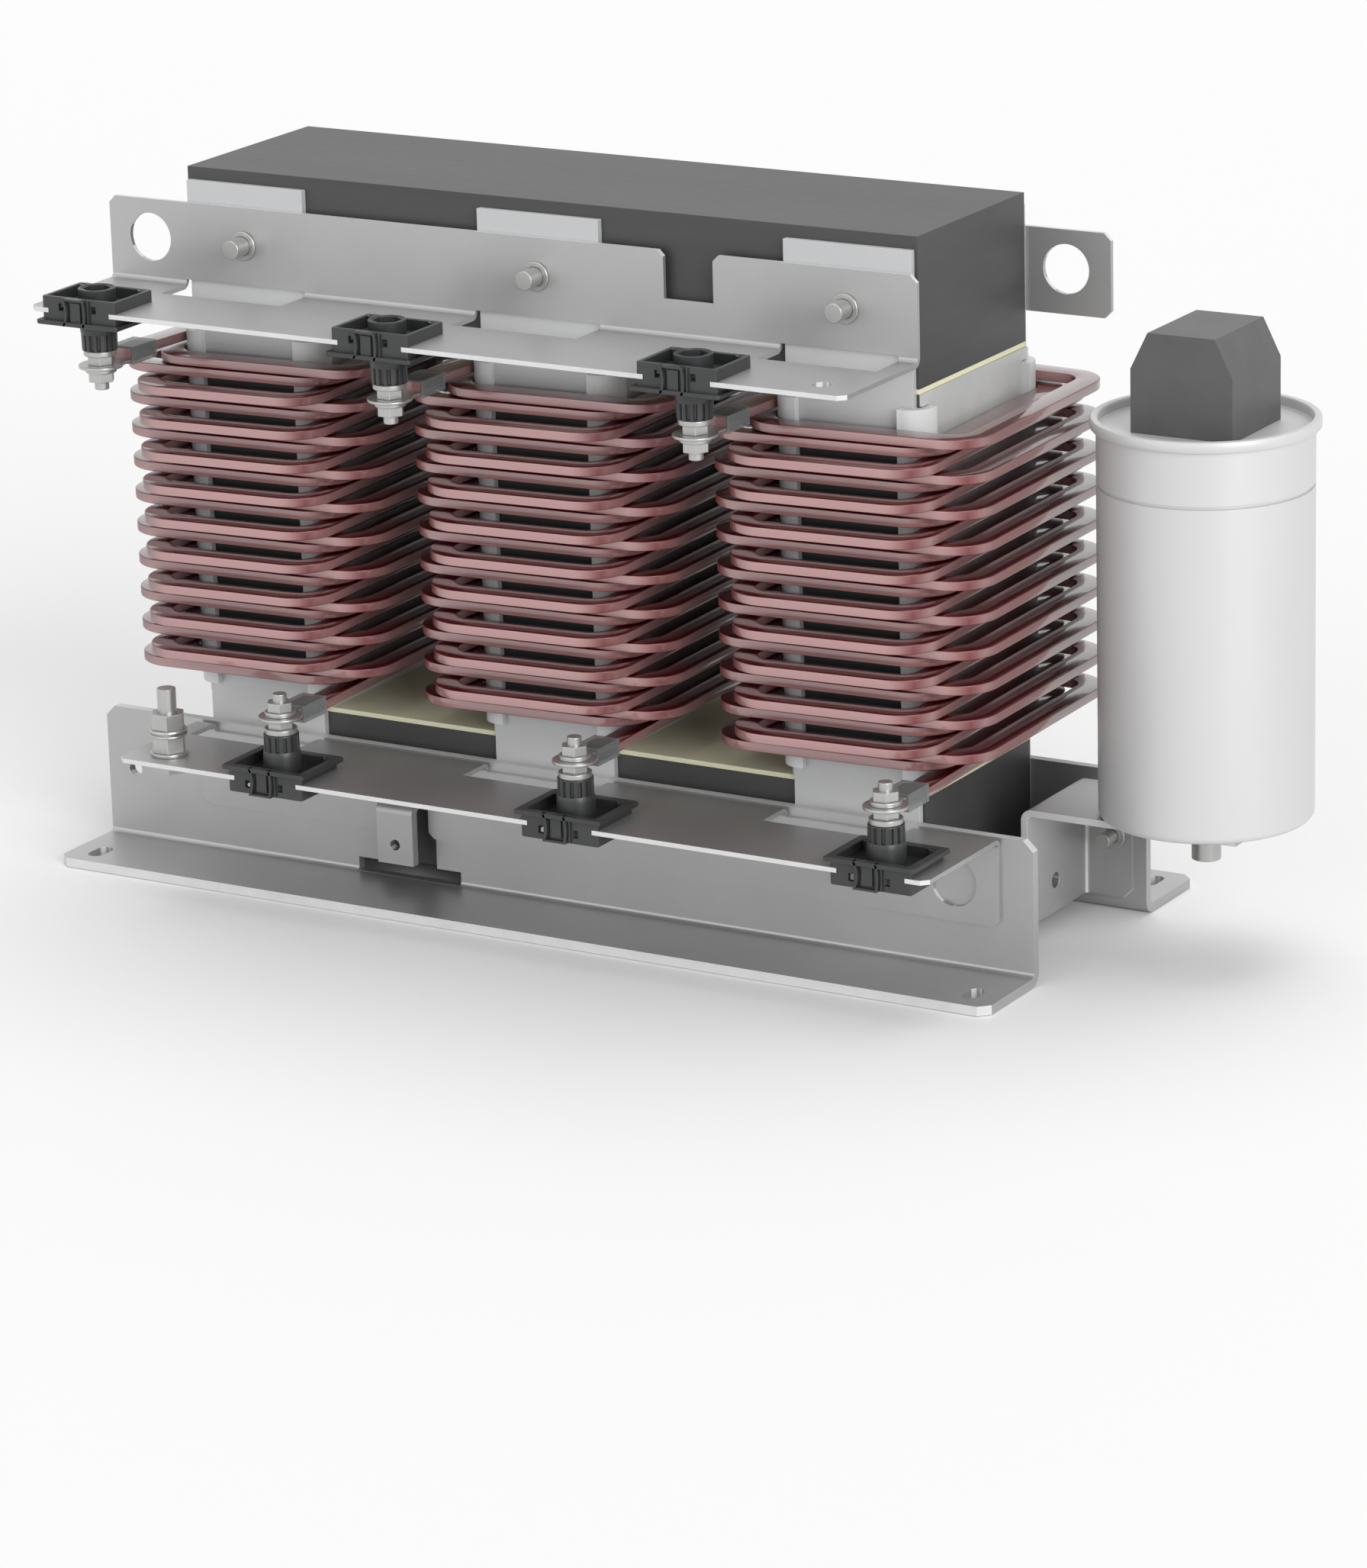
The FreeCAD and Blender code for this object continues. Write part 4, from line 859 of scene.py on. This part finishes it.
def camera():
    """The camera that took the photograph."""
    az, el, roll = CAMERA_AZIMUTH, CAMERA_ELEVATION, CAMERA_ROLL
    look = Vector((-math.sin(az) * math.cos(el), math.cos(az) * math.cos(el), -math.sin(el)))
    right = Vector((math.cos(az), math.sin(az), 0))
    up = right.cross(look)
    right_rolled = right * math.cos(roll) + up * math.sin(roll)
    up_rolled = up * math.cos(roll) - right * math.sin(roll)
    data = bpy.data.cameras.new("camera")
    data.sensor_width = SENSOR
    data.lens = FOCAL_PIXELS * SENSOR / PHOTO_HEIGHT
    data.clip_end = CAMERA_REACH
    item = bpy.data.objects.new("camera", data)
    turn = Matrix((right_rolled, up_rolled, -look)).transposed().to_4x4()
    item.matrix_world = Matrix.Translation(CAMERA_PLACE) @ turn
    bpy.context.scene.collection.objects.link(item)
    bpy.context.scene.camera = item


def sun(name, source, strength, spread):
    """A soft distant lamp that shines from the side that source points to."""
    data = bpy.data.lights.new(name, "SUN")
    data.energy = strength
    data.angle = math.radians(spread)
    item = bpy.data.objects.new(name, data)
    item.rotation_euler = Vector(source).to_track_quat("Z", "Y").to_euler()
    bpy.context.scene.collection.objects.link(item)


def sky():
    """A world that is white where the camera, a mirror or glass sees it, and a soft light elsewhere."""
    world = bpy.data.worlds.new("studio")
    bpy.context.scene.world = world
    world.use_nodes = True
    net = Nodes(world.node_tree)
    soft = net.tree.nodes["Background"]
    soft.inputs["Color"].default_value = WHITE
    soft.inputs["Strength"].default_value = SOFT_LIGHT
    white = net.add("ShaderNodeBackground", Color=WHITE, Strength=1.0)
    rays = net.add("ShaderNodeLightPath")
    seen = net.calc("MAXIMUM", (rays, "Is Camera Ray"), (rays, "Is Transmission Ray"))
    seen = net.calc("MAXIMUM", (seen, 0), (rays, "Is Glossy Ray"))
    mix = net.add("ShaderNodeMixShader")
    net.join(seen, 0, mix, "Fac")
    net.join(soft, 0, mix, 1)
    net.join(white, 0, mix, 2)
    net.join(mix, 0, net.tree.nodes["World Output"], "Surface")


def floor():
    """A plain pale floor."""
    size = FLOOR_HALF
    mesh = bpy.data.meshes.new("floor")
    corners = [(-size, -size, 0), (size, -size, 0), (size, size, 0), (-size, size, 0)]
    mesh.from_pydata(corners, [], [(0, 1, 2, 3)])
    item = bpy.data.objects.new("floor", mesh)
    item.location.z = -FLOOR_DROP
    bpy.context.scene.collection.objects.link(item)
    mat = Finish("pale_floor")
    mat.set(Base_Color=(FLOOR_TONE, FLOOR_TONE, FLOOR_TONE, 1), Roughness=0.7, Specular_IOR_Level=0.1)
    mesh.materials.append(mat.material)


def studio():
    """World, lamps and floor."""
    sky()
    for name, (source, strength, spread) in LAMPS.items():
        sun(name, source, strength, spread)
    floor()


dress_nodes()
coils()
holders()
side_sheets()
can()
camera()
studio()
bpy.context.scene.view_settings.view_transform = "Standard"
